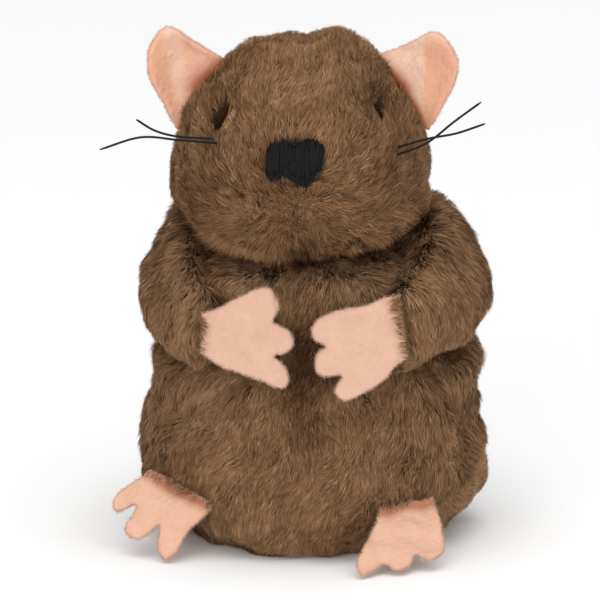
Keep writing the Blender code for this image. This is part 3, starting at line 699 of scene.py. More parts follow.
ARM_GUIDES = view_guides(
    [
        at_pixel(*g)
        for g in [
            # left
            (176, 205, 240), (160, 225, 236), (190, 215, 262), (176, 238, 244), (196, 245, 262), (150, 250, 236), (145, 282, 250),
            (174, 262, 264), (196, 270, 276), (174, 290, 256), (198, 292, 250), (145, 310, 262), (174, 310, 236), (196, 308, 244),
            (148, 340, 262), (174, 330, 242), (196, 330, 270), (160, 365, 262), (180, 352, 268), (198, 352, 284), (185, 380, 272),
            # right
            (432, 195, 304), (445, 205, 306), (416, 225, 276), (438, 222, 312), (462, 222, 318), (400, 245, 288), (420, 245, 270),
            (440, 245, 276), (466, 245, 304), (400, 262, 292), (420, 266, 284), (440, 266, 312), (470, 270, 318), (398, 285, 306),
            (416, 288, 308), (440, 286, 320), (466, 288, 316), (486, 292, 300), (400, 308, 284), (416, 310, 276), (438, 308, 290),
            (464, 308, 306), (485, 320, 280), (402, 332, 272), (418, 332, 272), (438, 332, 276), (460, 332, 282), (480, 345, 270),
            (412, 352, 262), (438, 352, 272), (460, 354, 270), (426, 374, 262), (450, 376, 266),
        ]
    ]
)


def combed(points, normals, guides, spread, elsewhere):
    """The combing direction at each root: the nearby guides where the viewer of the main picture sees it, and elsewhere the given one."""
    places, ways = guides
    flat = np.stack([points @ ACROSS, points @ UP], -1)
    total = np.zeros((len(points), 2))
    weight = np.zeros(len(points))
    for place, way in zip(places, ways):
        w = np.exp(-((flat - place) ** 2).sum(-1) / (2 * spread**2)) + 1e-12
        total += w[:, None] * way
        weight += w
    total = unit(total)
    seen = np.clip((normals @ TO_VIEWER - 0.05) / 0.35, 0, 1)[:, None]
    way = seen * (total[:, :1] * ACROSS + total[:, 1:] * UP) + (1 - seen) * elsewhere
    return in_surface(way, normals)


def in_surface(way, normals):
    return unit(way - (way * normals).sum(-1, keepdims=True) * normals)


def turned(way, normals, angle):
    """Turns directions in the surface by an angle in radians."""
    side = np.cross(normals, way)
    return way * np.cos(angle)[:, None] + side * np.sin(angle)[:, None]


# ---------------------------------------------------------------- pile
def scatter(grid, normals, per_mm2, rng, closed=False):
    """Roots spread evenly over a grid of points: places, normals, and grid coordinates."""
    rows, columns = grid.shape[:2]
    index = np.arange(rows * columns).reshape(rows, columns)
    if closed:
        index = np.concatenate([index, index[:, :1]], axis=1)
    a, b, c, d = index[:-1, :-1], index[:-1, 1:], index[1:, 1:], index[1:, :-1]
    triangles = np.concatenate([np.stack([a, b, c], -1).reshape(-1, 3), np.stack([a, c, d], -1).reshape(-1, 3)])
    flat, up = grid.reshape(-1, 3), normals.reshape(-1, 3)
    p, q, r = (flat[triangles[:, k]] for k in range(3))
    area = np.linalg.norm(np.cross(q - p, r - p), axis=1) / 2
    count = int(area.sum() * per_mm2)
    pick = np.sort(rng.choice(len(area), count, p=area / area.sum()))
    u, v = rng.random((2, count, 1))
    u, v = np.where(u + v > 1, 1 - u, u), np.where(u + v > 1, 1 - v, v)
    t = triangles[pick]
    place = flat[t[:, 0]] * (1 - u - v) + flat[t[:, 1]] * u + flat[t[:, 2]] * v
    normal = unit(up[t[:, 0]] * (1 - u - v) + up[t[:, 1]] * u + up[t[:, 2]] * v)
    return place, normal


def nearest(centres, points):
    tree = KDTree(len(centres))
    for k, p in enumerate(centres):
        tree.insert(p, k)
    tree.balance()
    return np.array([tree.find(p)[1] for p in points], int)


def strand_lines(roots, normals, way, length, height, curl, rng, stages):
    """The centre lines of strands: out of the backing, bending over along the combing."""
    s = stages[None, :, None]
    reach = np.sqrt(np.maximum(length**2 - height**2, 0.2))[:, None, None]
    rise = height[:, None, None] * (1 - (1 - s) ** 2.1)
    side = np.cross(normals, way)[:, None, :]
    swing = (curl * rng.normal(size=len(roots)))[:, None, None] * np.sin(s * rng.uniform(2.0, 4.5, len(roots))[:, None, None])
    return roots[:, None, :] + normals[:, None, :] * rise + way[:, None, :] * reach * s**1.25 + side * swing * s


def gathered(lines, roots, share, strength, power, rng, stages):
    """Draws the strands of each tuft together towards their tips. Gives back the lines and each strand's tuft."""
    count = max(1, int(len(roots) * share))
    leaders = rng.choice(len(roots), count, replace=False)
    tuft = nearest(roots[leaders], roots)
    pull = (strength * rng.uniform(0.55, 1.2, len(roots)))[:, None, None] * stages[None, :, None] ** power
    return lines + (lines[leaders[tuft]] - lines) * np.clip(pull, 0, 0.95), tuft, count


def strand_mesh(name, lines, normals, width, tone, rng, material, roll=0.6, profile=(0.75, 1.0, 0.8), soft=0.62):
    """Flat tapering strands, each ending in a point, with a map that holds shade across and place along.

    Their shading follows the skin under them more than each flat strand, as for a fibre that is round.
    """
    n, levels = lines.shape[:2]
    tangent = np.empty_like(lines)
    tangent[:, 0] = lines[:, 1] - lines[:, 0]
    tangent[:, -1] = lines[:, -1] - lines[:, -2]
    tangent[:, 1:-1] = lines[:, 2:] - lines[:, :-2]
    tangent = unit(tangent)
    side = unit(np.cross(tangent, np.repeat(normals[:, None], levels, 1)))
    lift = np.cross(side, tangent)
    angle = np.clip(rng.normal(size=n) * roll, -1.3, 1.3)[:, None, None]
    facing = lift * np.cos(angle) - side * np.sin(angle)
    side = side * np.cos(angle) + lift * np.sin(angle)
    shading = unit(facing * (1 - soft) + normals[:, None, :] * soft)
    half = (width / 2)[:, None] * np.interp(np.linspace(0, 1, levels), np.linspace(0, 1, len(profile)), profile)[None, :]
    left = lines[:, :-1] - side[:, :-1] * half[:, :-1, None]
    right = lines[:, :-1] + side[:, :-1] * half[:, :-1, None]
    body = np.stack([left, right], axis=2).reshape(n, -1, 3)
    points = np.concatenate([body, lines[:, -1:]], axis=1)
    per = points.shape[1]
    quads = [(2 * k, 2 * k + 1, 2 * k + 3, 2 * k + 2) for k in range(levels - 2)]
    tip = (2 * (levels - 2), 2 * (levels - 2) + 1, per - 1)
    corner = np.array([*[c for quad in quads for c in quad], *tip])
    loops = (np.arange(n)[:, None] * per + corner[None, :]).ravel()
    starts_one = np.array([*[4 * k for k in range(levels - 2)], 4 * (levels - 2)])
    starts = (np.arange(n)[:, None] * len(corner) + starts_one[None, :]).ravel()
    mesh = bpy.data.meshes.new(name)
    mesh.vertices.add(n * per)
    mesh.vertices.foreach_set("co", (points.reshape(-1) * MM).astype(np.float32))
    mesh.loops.add(len(loops))
    mesh.loops.foreach_set("vertex_index", loops.astype(np.int32))
    mesh.polygons.add(len(starts))
    mesh.polygons.foreach_set("loop_start", starts.astype(np.int32))
    place = np.repeat(np.linspace(0.02, 0.98, levels), 2)[:-1]
    place[-1] = 0.98
    shift = np.array([*[0.0, 0.0025] * (levels - 1), 0.00125])
    u = np.clip(tone, 0.02, 0.975)[:, None] + shift[None, :]
    v = np.repeat(place[None, :], n, 0)
    uv = np.stack([u, v], -1).reshape(-1, 2)[loops]
    layer = mesh.uv_layers.new(name="OFBake")
    layer.uv.foreach_set("vector", uv.astype(np.float32).ravel())
    mesh.update(calc_edges=True)
    mesh.shade_smooth()
    custom = mesh.attributes.new("custom_normal", "FLOAT_VECTOR", "POINT")
    spread = np.repeat(shading, 2, axis=1)[:, :-1]
    custom.data.foreach_set("vector", spread.reshape(-1).astype(np.float32))
    mesh.materials.append(material)
    obj = bpy.data.objects.new(name, mesh)
    bpy.context.scene.collection.objects.link(obj)
    return obj


STAGES = np.array([0.0, 0.3, 0.64, 1.0])
DENSITY = 23.0
BROAD = 1.0
PER_PIECE = 39000
LOWEST = 0.12


def pile_on(name, roots, normals, way, body, length=3.8, height=2.3, tone=0.5, width=0.105, seed=1, pulls=(0.17, 0.30), swirl=0.0, slits=False):
    """Brown pile on these roots, in as many pieces as it takes, side by side."""
    rng = np.random.default_rng(seed)
    n = len(roots)
    drift = ripple(roots, 11.0, seed + 1) * 0.24 + ripple(roots, 4.5, seed + 2) * 0.15
    way = turned(way, normals, swirl * ripple(roots, 2.4, seed + 6) + drift + rng.normal(size=n) * 0.25)
    long = length * (1 + 0.12 * ripple(roots, 6.0, seed + 3) + 0.13 * rng.normal(size=n))
    tall = height * (1 + 0.14 * ripple(roots, 5.0, seed + 4) + 0.12 * rng.normal(size=n))
    long = np.maximum(long, 0.9)
    tall = np.clip(tall, 0.25, 0.93 * long)
    lines = strand_lines(roots, normals, way, long, tall, 0.3, rng, STAGES)
    lines, big, bigs = gathered(lines, roots, 0.020, pulls[0], 1.6, rng, STAGES)
    lines, small, smalls = gathered(lines, roots, 0.22, pulls[1], 1.1, rng, STAGES)
    shade = tone + 0.03 * rng.normal(size=bigs)[big] + 0.075 * rng.normal(size=smalls)[small] + 0.125 * rng.normal(size=n)
    shade = shade + 0.04 * ripple(roots, 12.0, seed + 5)
    stray = rng.random(n) < 0.010
    lines[stray] += (normals[stray] * rng.uniform(0.2, 1.0, (stray.sum(), 1)))[:, None, :] * STAGES[None, :, None] ** 1.5
    lines[..., 2] = np.maximum(lines[..., 2], LOWEST)
    if slits:
        lines = clear_of_slits(lines)
    # Strands in the hollow under the chin are painted darker: a painted shade.
    if slits or body == "torso":
        shade = shade - 0.48 * np.exp(-(chin_shade_distance(lines[:, 2]) ** 2)) * (lines[:, 2, 1] < -12)
    thick = width * BROAD * rng.uniform(0.7, 1.3, n)
    parts = max(1, math.ceil(n / PER_PIECE))
    order = np.argsort(roots[:, 0], kind="stable")
    split = np.empty(n, int)
    split[order] = np.arange(n) * parts // n
    names = [name] if parts == 1 else [f"{name}_{k + 1}" for k in range(parts)]
    for k, part_name in enumerate(names):
        chosen = split == k
        obj = strand_mesh(part_name, lines[chosen], normals[chosen], thick[chosen], shade[chosen], rng, PILE)
        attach(obj, body)


def eye_away(side, points):
    """How far points are from the bent line of an eye in the picture's plane, and where along it, from 0 at its top to 1."""
    p = np.stack([points @ ACROSS, points @ UP], -1)
    best = np.full(p.shape[:-1], 99.0)
    where = np.zeros(p.shape[:-1])
    a, b, c = (np.array(v) for v in EYES[side])
    for start, first, second in ((0.0, a, b), (0.5, b, c)):
        t = np.clip(((p - first) @ (second - first)) / ((second - first) @ (second - first)), 0, 1)
        away = np.linalg.norm(p - first - t[..., None] * (second - first), axis=-1)
        where = np.where(away < best, start + 0.5 * t, where)
        best = np.minimum(best, away)
    return best, where


def slit_distance(points):
    """How far points of the face are from each eye's slit, as a share of its half width; the least of both."""
    least = np.full(points.shape[:-1], 99.0)
    for side in EYES:
        away, t = eye_away(side, points)
        least = np.minimum(least, away / (0.20 + 0.55 * t if side == "left" else 0.35 + 0.15 * t))
    return least


def chin_shade_distance(points):
    """How far points are from the middle of the painted shade in the hollow under the chin, as a share of its size."""
    across, up, wide, tall = CHIN_SHADE
    return np.sqrt(((points @ ACROSS - across) / wide) ** 2 + ((points @ UP - up) / tall) ** 2)


def clear_of_slits(lines):
    """Shortens the strands round each eye that would hang over its slit."""
    front = lines[:, 0, 1] < -12
    for _ in range(4):
        crosses = front & (slit_distance(lines[:, 1:]).min(axis=1) < 1.0)
        crosses &= slit_distance(lines[:, 0]) > 0.8
        base = lines[crosses, :1]
        lines[crosses] = base + (lines[crosses] - base) * 0.72
    return lines


def dome(u, v, centre, size):
    return np.exp(-((u - centre[0]) ** 2 / (2 * size[0] ** 2) + (v - centre[1]) ** 2 / (2 * size[1] ** 2)))


# How far the filled skins stand out sideways, (height, left, right), in mm.
FLANKS = [
    (0.0, 0.6, 0.4), (3.0, 1.4, 1.4), (5.6, 1.9, 2.7), (8.4, 2.0, 3.8), (11.0, 2.0, 3.6), (14.0, 1.8, 2.6), (16.5, 1.0, 1.5),
    (20.0, 0.0, 0.2), (23.0, -0.1, -1.2), (26.0, -0.1, -1.3), (28.5, -0.6, -0.2), (32.0, -1.6, 0.2), (36.0, -0.2, 1.9),
    (40.0, 2.0, 3.7), (45.0, 3.4, 4.9), (50.0, 0.4, 0.4),
]
SLEEVES = [
    (38.0, 1.8, 3.6), (42.0, 2.2, 4.0), (44.0, 2.1, 3.8), (46.0, 1.2, 2.6), (50.0, -0.6, 1.5), (54.0, -1.6, 0.2),
    (58.0, -2.3, -1.3), (62.0, -2.4, -1.6), (66.0, -1.8, -1.1), (70.0, -1.3, -1.4), (76.0, -0.8, -1.4),
]


def settled(points, rows, start, over):
    """Moves the sides of a skin out or in by a table of heights."""
    table = np.array(rows)
    left = np.interp(points[..., 2], table[:, 0], table[:, 1])
    right = np.interp(points[..., 2], table[:, 0], table[:, 2])
    share = np.clip((np.abs(points[..., 0]) - start) / over, 0, 1)
    share = share * share * (3 - 2 * share)
    moved = points.copy()
    moved[..., 0] += share * np.where(points[..., 0] < 0, -left, right)
    return moved


# ---------------------------------------------------------------- the body
def make_torso():
    rows, half = 44, 44
    t = np.linspace(0.07, 1.0, rows)[:, None]
    theta = np.arange(2 * half) * math.pi / half
    outer = clear_of_arms(torso_surface(theta[None, :], t), TORSO_CENTRE, -3.2)
    skin = towards(outer, TORSO_CENTRE, 3.1)
    pins = np.zeros((rows, 2 * half), bool)
    pins[:, (0, half)] = True
    pins[(0, -1), :] = True
    skin = puffed("body_skin_in_work", skin, pins, 1.0)
    skin, half = finer(skin), 2 * half
    skin = skin + grid_normals(skin, True) * (0.5 * ripple(skin, 14.0, 31) + 0.25 * ripple(skin, 7.0, 32))[..., None]
    skin = settled(skin, FLANKS, 22.0, 12.0)
    # The lowest rows reach down to the base.
    skin[..., 2] -= 2.2 * np.clip((9.0 - skin[..., 2]) / 6.0, 0, 1) ** 2
    chest = np.exp(-(((skin[..., 0] + 1.0) / 23.0) ** 4) - ((skin[..., 2] - 60.5) / 7.5) ** 2) * np.clip((-2 - skin[..., 1]) / 7, 0, 1)
    skin[..., 1] -= 5.4 * chest
    skin[..., 2] += 1.6 * chest
    bib = np.exp(-(((skin[..., 0] + 15.0) / 8.5) ** 2) - ((skin[..., 2] - 61.5) / 4.6) ** 2) * np.clip((-6 - skin[..., 1]) / 8, 0, 1)
    bib = bib + 0.35 * np.exp(-(((skin[..., 0] - 9.0) / 8.0) ** 2) - ((skin[..., 2] - 60.5) / 4.6) ** 2) * np.clip((-6 - skin[..., 1]) / 8, 0, 1)
    skin[..., 1] -= 3.2 * bib
    skin[..., 2] += 1.2 * bib
    # The body fills the hollow between the chest and each arm.
    hollow = np.exp(-(((np.abs(skin[..., 0]) - 19.0) / 6.0) ** 2) - ((skin[..., 2] - 58.5) / 7.5) ** 2) * np.clip((4 - skin[..., 1]) / 8, 0, 1)
    hollow = hollow * np.where(skin[..., 0] < 0, 1.25, 1.0)
    skin[..., :2] += 3.4 * hollow[..., None] * unit(skin[..., :2] * np.array([0.6, 1.0]))
    skin[..., 2] += 2.4 * hollow
    corner = np.exp(-(((skin[..., 0] + 22.0) / 8.0) ** 2) - ((skin[..., 1] + 13.0) / 9.0) ** 2) * np.clip((9.0 - skin[..., 2]) / 7.0, 0, 1)
    skin[..., :2] *= (1 - 0.050 * corner)[..., None]
    skin[..., 2] += 1.3 * corner
    low = np.clip((10.0 - skin[..., 2]) / 6.0, 0, 1) * (skin[..., 1] < -12) * np.clip((skin[..., 0] + 6) / 12, 0, 1)
    skin[..., 1] += 1.9 * low
    for column in (0, half):
        skin[:, column] = towards(skin[:, column], TORSO_CENTRE, 0.5)
    normals = grid_normals(skin, True)
    ring = np.concatenate([skin, skin[:, :1]], axis=1)
    up = np.concatenate([normals, normals[:, :1]], axis=1)
    for name, columns, replaced, shift in (
        ("back_skin", slice(0, half + 1), "back_panel", 0.12),
        ("belly_skin", slice(half, 2 * half + 1), "belly_panel", -0.12),
    ):
        part, part_up = ring[:, columns].copy(), up[:, columns]
        part[:, (0, -1), 1] += shift
        obj = build(name, *shell(part, part - part_up * BACKING), BACK_CLOTH)
        face_outwards(obj)
        note_skin("torso", part)
        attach(obj, "torso")
        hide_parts(replaced)

    for seed, name, columns in ((101, "belly_pile", slice(half, 2 * half + 1)), (102, "back_pile", slice(0, half + 1))):
        rng = np.random.default_rng(seed)
        roots, lift = scatter(ring[:, columns], up[:, columns], DENSITY, rng)
        downwards = np.array([0.0, 0.0, -1.0]) + 0.25 * unit(roots * np.array([1, 1, 0]))
        way = combed(roots, lift, TORSO_GUIDES, 4.5, downwards)
        # Under the lower seam the pile lies along the seam and is short.
        edge = 3.8 + 0.012 * roots[:, 0] ** 2
        strip = np.clip((edge - roots[:, 2]) / 1.2, 0, 1)
        along_seam = in_surface(np.stack([-roots[:, 1], roots[:, 0], 0 * roots[:, 0]], -1), lift)
        way = unit(way * (1 - strip[:, None]) + (along_seam + 0.25 * way) * strip[:, None])
        u, v = roots @ ACROSS, roots @ UP
        front = np.clip((-2 - roots[:, 1]) / 8, 0, 1)
        length = 3.8 + 0.9 * dome(u, v, (2.0, 59.0), (26.0, 5.0)) * front
        height = 2.3 + 0.7 * dome(u, v, (2.0, 60.0), (26.0, 5.0)) * front
        length = length * (1 - 0.35 * strip)
        height = height * (1 - 0.45 * strip)
        # Painted light and shade in the pile: darker between the paws; lighter on the chest under the chin and in the
        # crease to its left, where the head shades them; lighter in the strip under the lower seam, where the belly
        # shades it; and a little lighter in a band lower on the belly.
        tone = 0.10 * dome(u, v, (4.0, 53.5), (16.0, 3.6)) - 0.46 * dome(u, v, (-1.5, 36.5), (3.8, 9.0)) - 0.05 * dome(u, v, (4.0, 28.0), (16.0, 4.0))
        tone = tone + 0.10 * dome(u, v, (-14.0, 57.5), (10.0, 3.5)) + 0.10 * dome(u, v, (0.0, 29.0), (15.0, 3.2))
        tone = 0.53 + tone * front + 0.10 * strip
        pile_on(name, roots, lift, way, "torso", length, height, tone, seed=seed)


def make_base():
    side, front, back = BASE_RADIUS
    angles = np.arange(72) * 2 * math.pi / 72
    depth = np.where(np.sin(angles) < 0, front, back)
    rim = np.stack([side * np.cos(angles), depth * np.sin(angles), 0 * angles], -1)
    shares = np.array([0.0, 0.2, 0.4, 0.6, 0.8, 0.95, 1.0])
    lower = np.array([rim * k for k in shares[1:]])
    lower[..., 2] = 0.25 + 0.12 * ripple(lower, 9.0, 41)
    lower[..., 2] = np.maximum(lower[..., 2], 0.05)
    upper = lower.copy()
    upper[..., 2] = BASE_THICK - 0.2
    upper[-1] = upper[-1] * np.array([0.97, 0.97, 1.0])
    points = [*lower.reshape(-1, 3), *upper.reshape(-1, 3), (0, 0, 0.25), (0, 0, BASE_THICK - 0.2)]
    faces = grid_faces(len(lower), 72, True).tolist()
    count = len(lower) * 72
    faces += [[f[3], f[2], f[1], f[0]] for f in grid_faces(len(lower), 72, True, count).tolist()]
    last = (len(lower) - 1) * 72
    for k in range(72):
        n = (k + 1) % 72
        faces.append([last + k, last + n, last + n + count, last + k + count])
        faces.append([n, k, 2 * count])
        faces.append([k + count, n + count, 2 * count + 1])
    obj = build("base_cloth", points, faces, BACK_CLOTH)
    face_outwards(obj)
    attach(obj, "torso")
    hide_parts("base_panel")


def make_filling(node_name, name, body, size, seed, material=None, under_eyes=False, sleeve=None):
    """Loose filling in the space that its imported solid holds."""
    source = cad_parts[node_name]
    mesh = source.data.copy()
    obj = bpy.data.objects.new(name, mesh)
    bpy.context.scene.collection.objects.link(obj)
    mesh.name = name
    remesh = obj.modifiers.new("even", "REMESH")
    remesh.mode = "VOXEL"
    remesh.voxel_size = size * MM
    graph = bpy.context.evaluated_depsgraph_get()
    final = bpy.data.meshes.new_from_object(obj.evaluated_get(graph))
    obj.modifiers.clear()
    obj.data = final
    final.name = name
    bpy.data.meshes.remove(mesh)
    co = np.empty(len(final.vertices) * 3, np.float32)
    up = np.empty(len(final.vertices) * 3, np.float32)
    final.vertices.foreach_get("co", co)
    final.vertex_normals.foreach_get("vector", up)
    co, up = co.reshape(-1, 3) / MM, up.reshape(-1, 3)
    co = co - up * (0.45 + 0.3 * ripple(co, 5.0, seed) + 0.15 * ripple(co, 2.2, seed + 1))[:, None]
    if under_eyes:
        co = towards(co, HEAD_CENTRE, eye_depth(co, 0.7, 1.2)[:, None])
    if sleeve:
        heart = arm_spine(ARMS[sleeve], np.array(0.3))[0]
        co = towards(shoulder(co, ARMS[sleeve]["side"]), heart, 1.3)
    final.vertices.foreach_set("co", (co * MM).astype(np.float32).ravel())
    final.update()
    final.shade_smooth()
    final.materials.clear()
    final.materials.append(material or FILLING)
    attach(obj, body)
    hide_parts(node_name)
    return obj


def make_sewing(node_name, name, body, centre, sink):
    """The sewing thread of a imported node, sunk into the pile."""
    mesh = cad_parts[node_name].data.copy()
    mesh.name = name
    obj = bpy.data.objects.new(name, mesh)
    bpy.context.scene.collection.objects.link(obj)
    co = np.empty(len(mesh.vertices) * 3, np.float32)
    mesh.vertices.foreach_get("co", co)
    co = co.reshape(-1, 3).astype(float) / MM
    if sink:
        co = towards(co, centre, sink)
    mesh.vertices.foreach_set("co", (co * MM).astype(np.float32).ravel())
    mesh.update()
    mesh.shade_smooth()
    mesh.materials.clear()
    mesh.materials.append(BROWN_THREAD)
    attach(obj, body)
    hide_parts(node_name)


# ---------------------------------------------------------------- the head
def eye_depth(points, wider=0.0, deeper=0.0):
    """How deep the eye dimples are at points of the face, in mm."""
    deep = 0.0
    for side in EYES:
        away, t = eye_away(side, points)
        if side == "left":
            most, wide = 1.1 + 2.0 * t + deeper, 0.85 - 0.15 * t + wider
        else:
            most, wide = 1.7 + 0.5 * t + deeper, 1.05 + wider
        deep = np.maximum(deep, most * np.exp(-(away**2) / (2 * wide**2)) * (points[..., 1] < -10))
    return deep


def nose_cover(points):
    """Whether points of the face are under the nose."""
    x, z = points[..., 0] + 3.5, points[..., 2] - 91.8
    wide = 5.6 + 0.14 * z
    return (np.abs(x / wide) ** 2.6 + np.abs(z / 4.0) ** 2.6 < 1) & (points[..., 1] < -20)


def make_head():
    rows, half = 46, 40
    t = np.linspace(0.0, 1.0, rows)[:, None] ** 0.92
    theta = np.arange(2 * half) * math.pi / half
    outer = head_surface(theta[None, :], t)
    skin = towards(outer, HEAD_CENTRE, 3.0)
    pins = np.zeros((rows, 2 * half), bool)
    pins[:, (0, half)] = True
    pins[(0, -1), :] = True
    skin = puffed("head_skin_in_work", skin, pins, 0.8)
    skin, half = finer(finer(skin)), 4 * half
    skin = skin + grid_normals(skin, True) * (0.4 * ripple(skin, 13.0, 33) + 0.2 * ripple(skin, 6.0, 34))[..., None]
    rays = unit(skin - HEAD_CENTRE)
    skin = skin - rays * eye_depth(skin)[..., None]
    crown = np.array(
        [
            (-20.5, 0.4), (-17.8, 2.2), (-15, 0.9), (-12.5, 1.3), (-10, 0.8), (-7, 0.0), (-2, -1.2), (0.7, -0.5), (3.3, 1.5), (5.9, 2.8),
            (8.6, 2.7), (11.2, 2.5), (13.9, 2.5), (16, 2.1), (18, 1.1), (21, 0.2),
        ]
    )
    top = np.clip((skin[..., 2] - 100.0) / 8.0, 0, 1)
    skin[..., 2] += top * np.interp(skin[..., 0], crown[:, 0], crown[:, 1])
    skin[..., 0] -= 1.5 * np.clip((skin[..., 0] - 8.0) / 14.0, 0, 1) * np.exp(-(((skin[..., 2] - 90.0) / 9.0) ** 2))
    skin[..., 0] -= 1.3 * np.clip((-8.0 - skin[..., 0]) / 14.0, 0, 1) * np.exp(-(((skin[..., 2] - 78.0) / 7.0) ** 2))
    skin[..., 0] += 1.5 * np.clip((skin[..., 0] - 6.0) / 14.0, 0, 1) * np.exp(-(((skin[..., 2] - 76.5) / 4.5) ** 2))
    for column in (0, half):
        skin[:, column] = towards(skin[:, column], HEAD_CENTRE, 0.5)
    normals = grid_normals(skin, True)
    ring = np.concatenate([skin, skin[:, :1]], axis=1)
    up = np.concatenate([normals, normals[:, :1]], axis=1)
    for name, columns, replaced, shift in (
        ("head_back_skin", slice(0, half + 1), "head_back_panel", 0.12),
        ("face_skin", slice(half, 2 * half + 1), "face_panel", -0.12),
    ):
        part, part_up = ring[:, columns].copy(), up[:, columns]
        part[:, (0, -1), 1] += shift
        obj = build(name, *shell(part, part - part_up * BACKING), BACK_CLOTH)
        face_outwards(obj)
        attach(obj, "head")
        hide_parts(replaced)

    for seed, name, columns in ((111, "face_pile", slice(half, 2 * half + 1)), (112, "head_back_pile", slice(0, half + 1))):
        rng = np.random.default_rng(seed)
        roots, lift = scatter(ring[:, columns], up[:, columns], DENSITY * 1.1, rng)
        deep = np.clip(eye_depth(roots) / 2.4, 0, 1)
        keep = ~nose_cover(roots)
        roots, lift, deep = roots[keep], lift[keep], deep[keep]
        # Behind the seam the pile runs over the crown and down the back of the head.
        back = np.stack([0 * roots[:, 0], np.clip((roots[:, 2] - 88) / 20, 0, 1), -1.2 + 0 * roots[:, 0]], -1)
        under = roots[:, 2] < 76
        back[under] = unit(roots[under] - HEAD_CENTRE) * np.array([1, 1, 0]) + np.array([0, 0, -0.4])
        way = combed(roots, lift, HEAD_GUIDES, 3.4, back)
        u, v = roots @ ACROSS, roots @ UP
        front = np.clip((4 - roots[:, 1]) / 8, 0, 1)
        length = -0.7 * dome(u, v, (-3.5, 79.0), (9.0, 8.0)) + 1.5 * dome(u, v, (-15.0, 60.0), (12.0, 5.5)) + 1.1 * dome(u, v, (20.0, 62.0), (10.0, 5.5))
        height = -0.8 * dome(u, v, (-3.5, 79.0), (8.5, 7.5)) + 0.5 * dome(u, v, (-15.0, 60.0), (12.0, 6.0)) + 0.4 * dome(u, v, (20.0, 62.0), (10.0, 6.0))
        length, height = 3.4 + length * front, 2.2 + height * front
        length = length * (1 - 0.4 * deep)
        height = height * (1 - 0.35 * deep)
        slit = (roots[:, 1] < -12) * np.clip(1.5 - slit_distance(roots), 0, 1)
        length = length * (1 - 0.35 * slit)
        height = height * (1 - 0.35 * slit)
        # Painted light and shade in the pile: a painted highlight on the forehead, and painted shade under the jaw, on
        # the left cheek, round each eye, in its dimple and along its slit.
        tone = 0.05 * dome(u, v, (-3.0, 95.0), (18.0, 12.0)) - 0.09 * dome(u, v, (-2.0, 62.0), (22.0, 6.5))
        tone = tone - 0.14 * dome(u, v, (-20.2, 91.6), (1.5, 3.0)) - 0.17 * dome(u, v, (14.3, 91.8), (2.0, 2.9))
        tone = tone - 0.05 * dome(u, v, (-24.0, 78.0), (6.0, 9.0))
        tone = 0.47 + tone * front - 0.36 * deep**2.0 - 0.3 * slit
        swirl = 1.5 * dome(u, v, (-4.5, 69.0), (6.0, 5.0)) + 0.35 * dome(u, v, (-2.0, 64.0), (14.0, 6.0))
        pile_on(name, roots, lift, way, "head", length, height, tone, width=0.10, seed=seed, swirl=swirl, slits=True)


def make_chin():
    """Longer pile along the jaw, which hangs over the hollow between head and chest."""
    rng = np.random.default_rng(115)
    theta = np.linspace(math.radians(188), math.radians(352), 60)
    t = np.linspace(0.10, 0.36, 16)[:, None]
    skin = towards(head_surface(theta[None, :], t), HEAD_CENTRE, 2.9)
    roots, lift = scatter(skin, unit(skin - HEAD_CENTRE), 16.0, rng)
    u, v = roots @ ACROSS, roots @ UP
    share = np.clip(1.1 * dome(u, v, (-16.0, 61.0), (9.0, 5.0)) + 0.8 * dome(u, v, (21.0, 64.0), (8.0, 4.5)), 0, 1)
    keep = (rng.random(len(roots)) < share) & (lift @ TO_VIEWER > -0.45)
    roots, lift, u, v = roots[keep], lift[keep], u[keep], v[keep]
    way = combed(roots, lift, HEAD_GUIDES, 3.4, np.array([0.0, -0.2, -1.0]))
    way = unit(way + np.array([0.0, -0.25, -0.9]))
    lift = unit(lift - way * (lift * way).sum(-1, keepdims=True))
    length = 4.4 + 2.6 * dome(u, v, (-17.0, 61.0), (8.0, 6.0)) + 0.6 * dome(u, v, (20.0, 62.0), (8.0, 5.0))
    height = np.full(len(roots), 1.7)
    # The jaw's pile is painted a little darker than the face: a painted shade under the head.
    pile_on("chin_pile", roots, lift, way, "head", length, height, np.full(len(roots), 0.43), width=0.10, seed=116, pulls=(0.25, 0.30), swirl=0.3, slits=True)
    # A small whorl under the nose.
    rng = np.random.default_rng(117)
    n = 900
    u, v = -4.6 + 2.1 * rng.normal(size=n), 68.8 + 1.7 * rng.normal(size=n)
    z = on_face(u, v)
    roots = np.stack([u, face_y(u, z), z], -1)
    lift = unit(roots - HEAD_CENTRE)
    roots = roots - lift * 2.9
    away = np.stack([u + 4.6, 0 * u, v - 68.8], -1)
    way = in_surface(unit(away + 1e-6) + 1.1 * rng.normal(size=(n, 3)), lift)
    pile_on("muzzle_pile", roots, lift, way, "head", np.full(n, 3.0), np.full(n, 2.1), np.full(n, 0.45), width=0.10, seed=118, swirl=1.0)


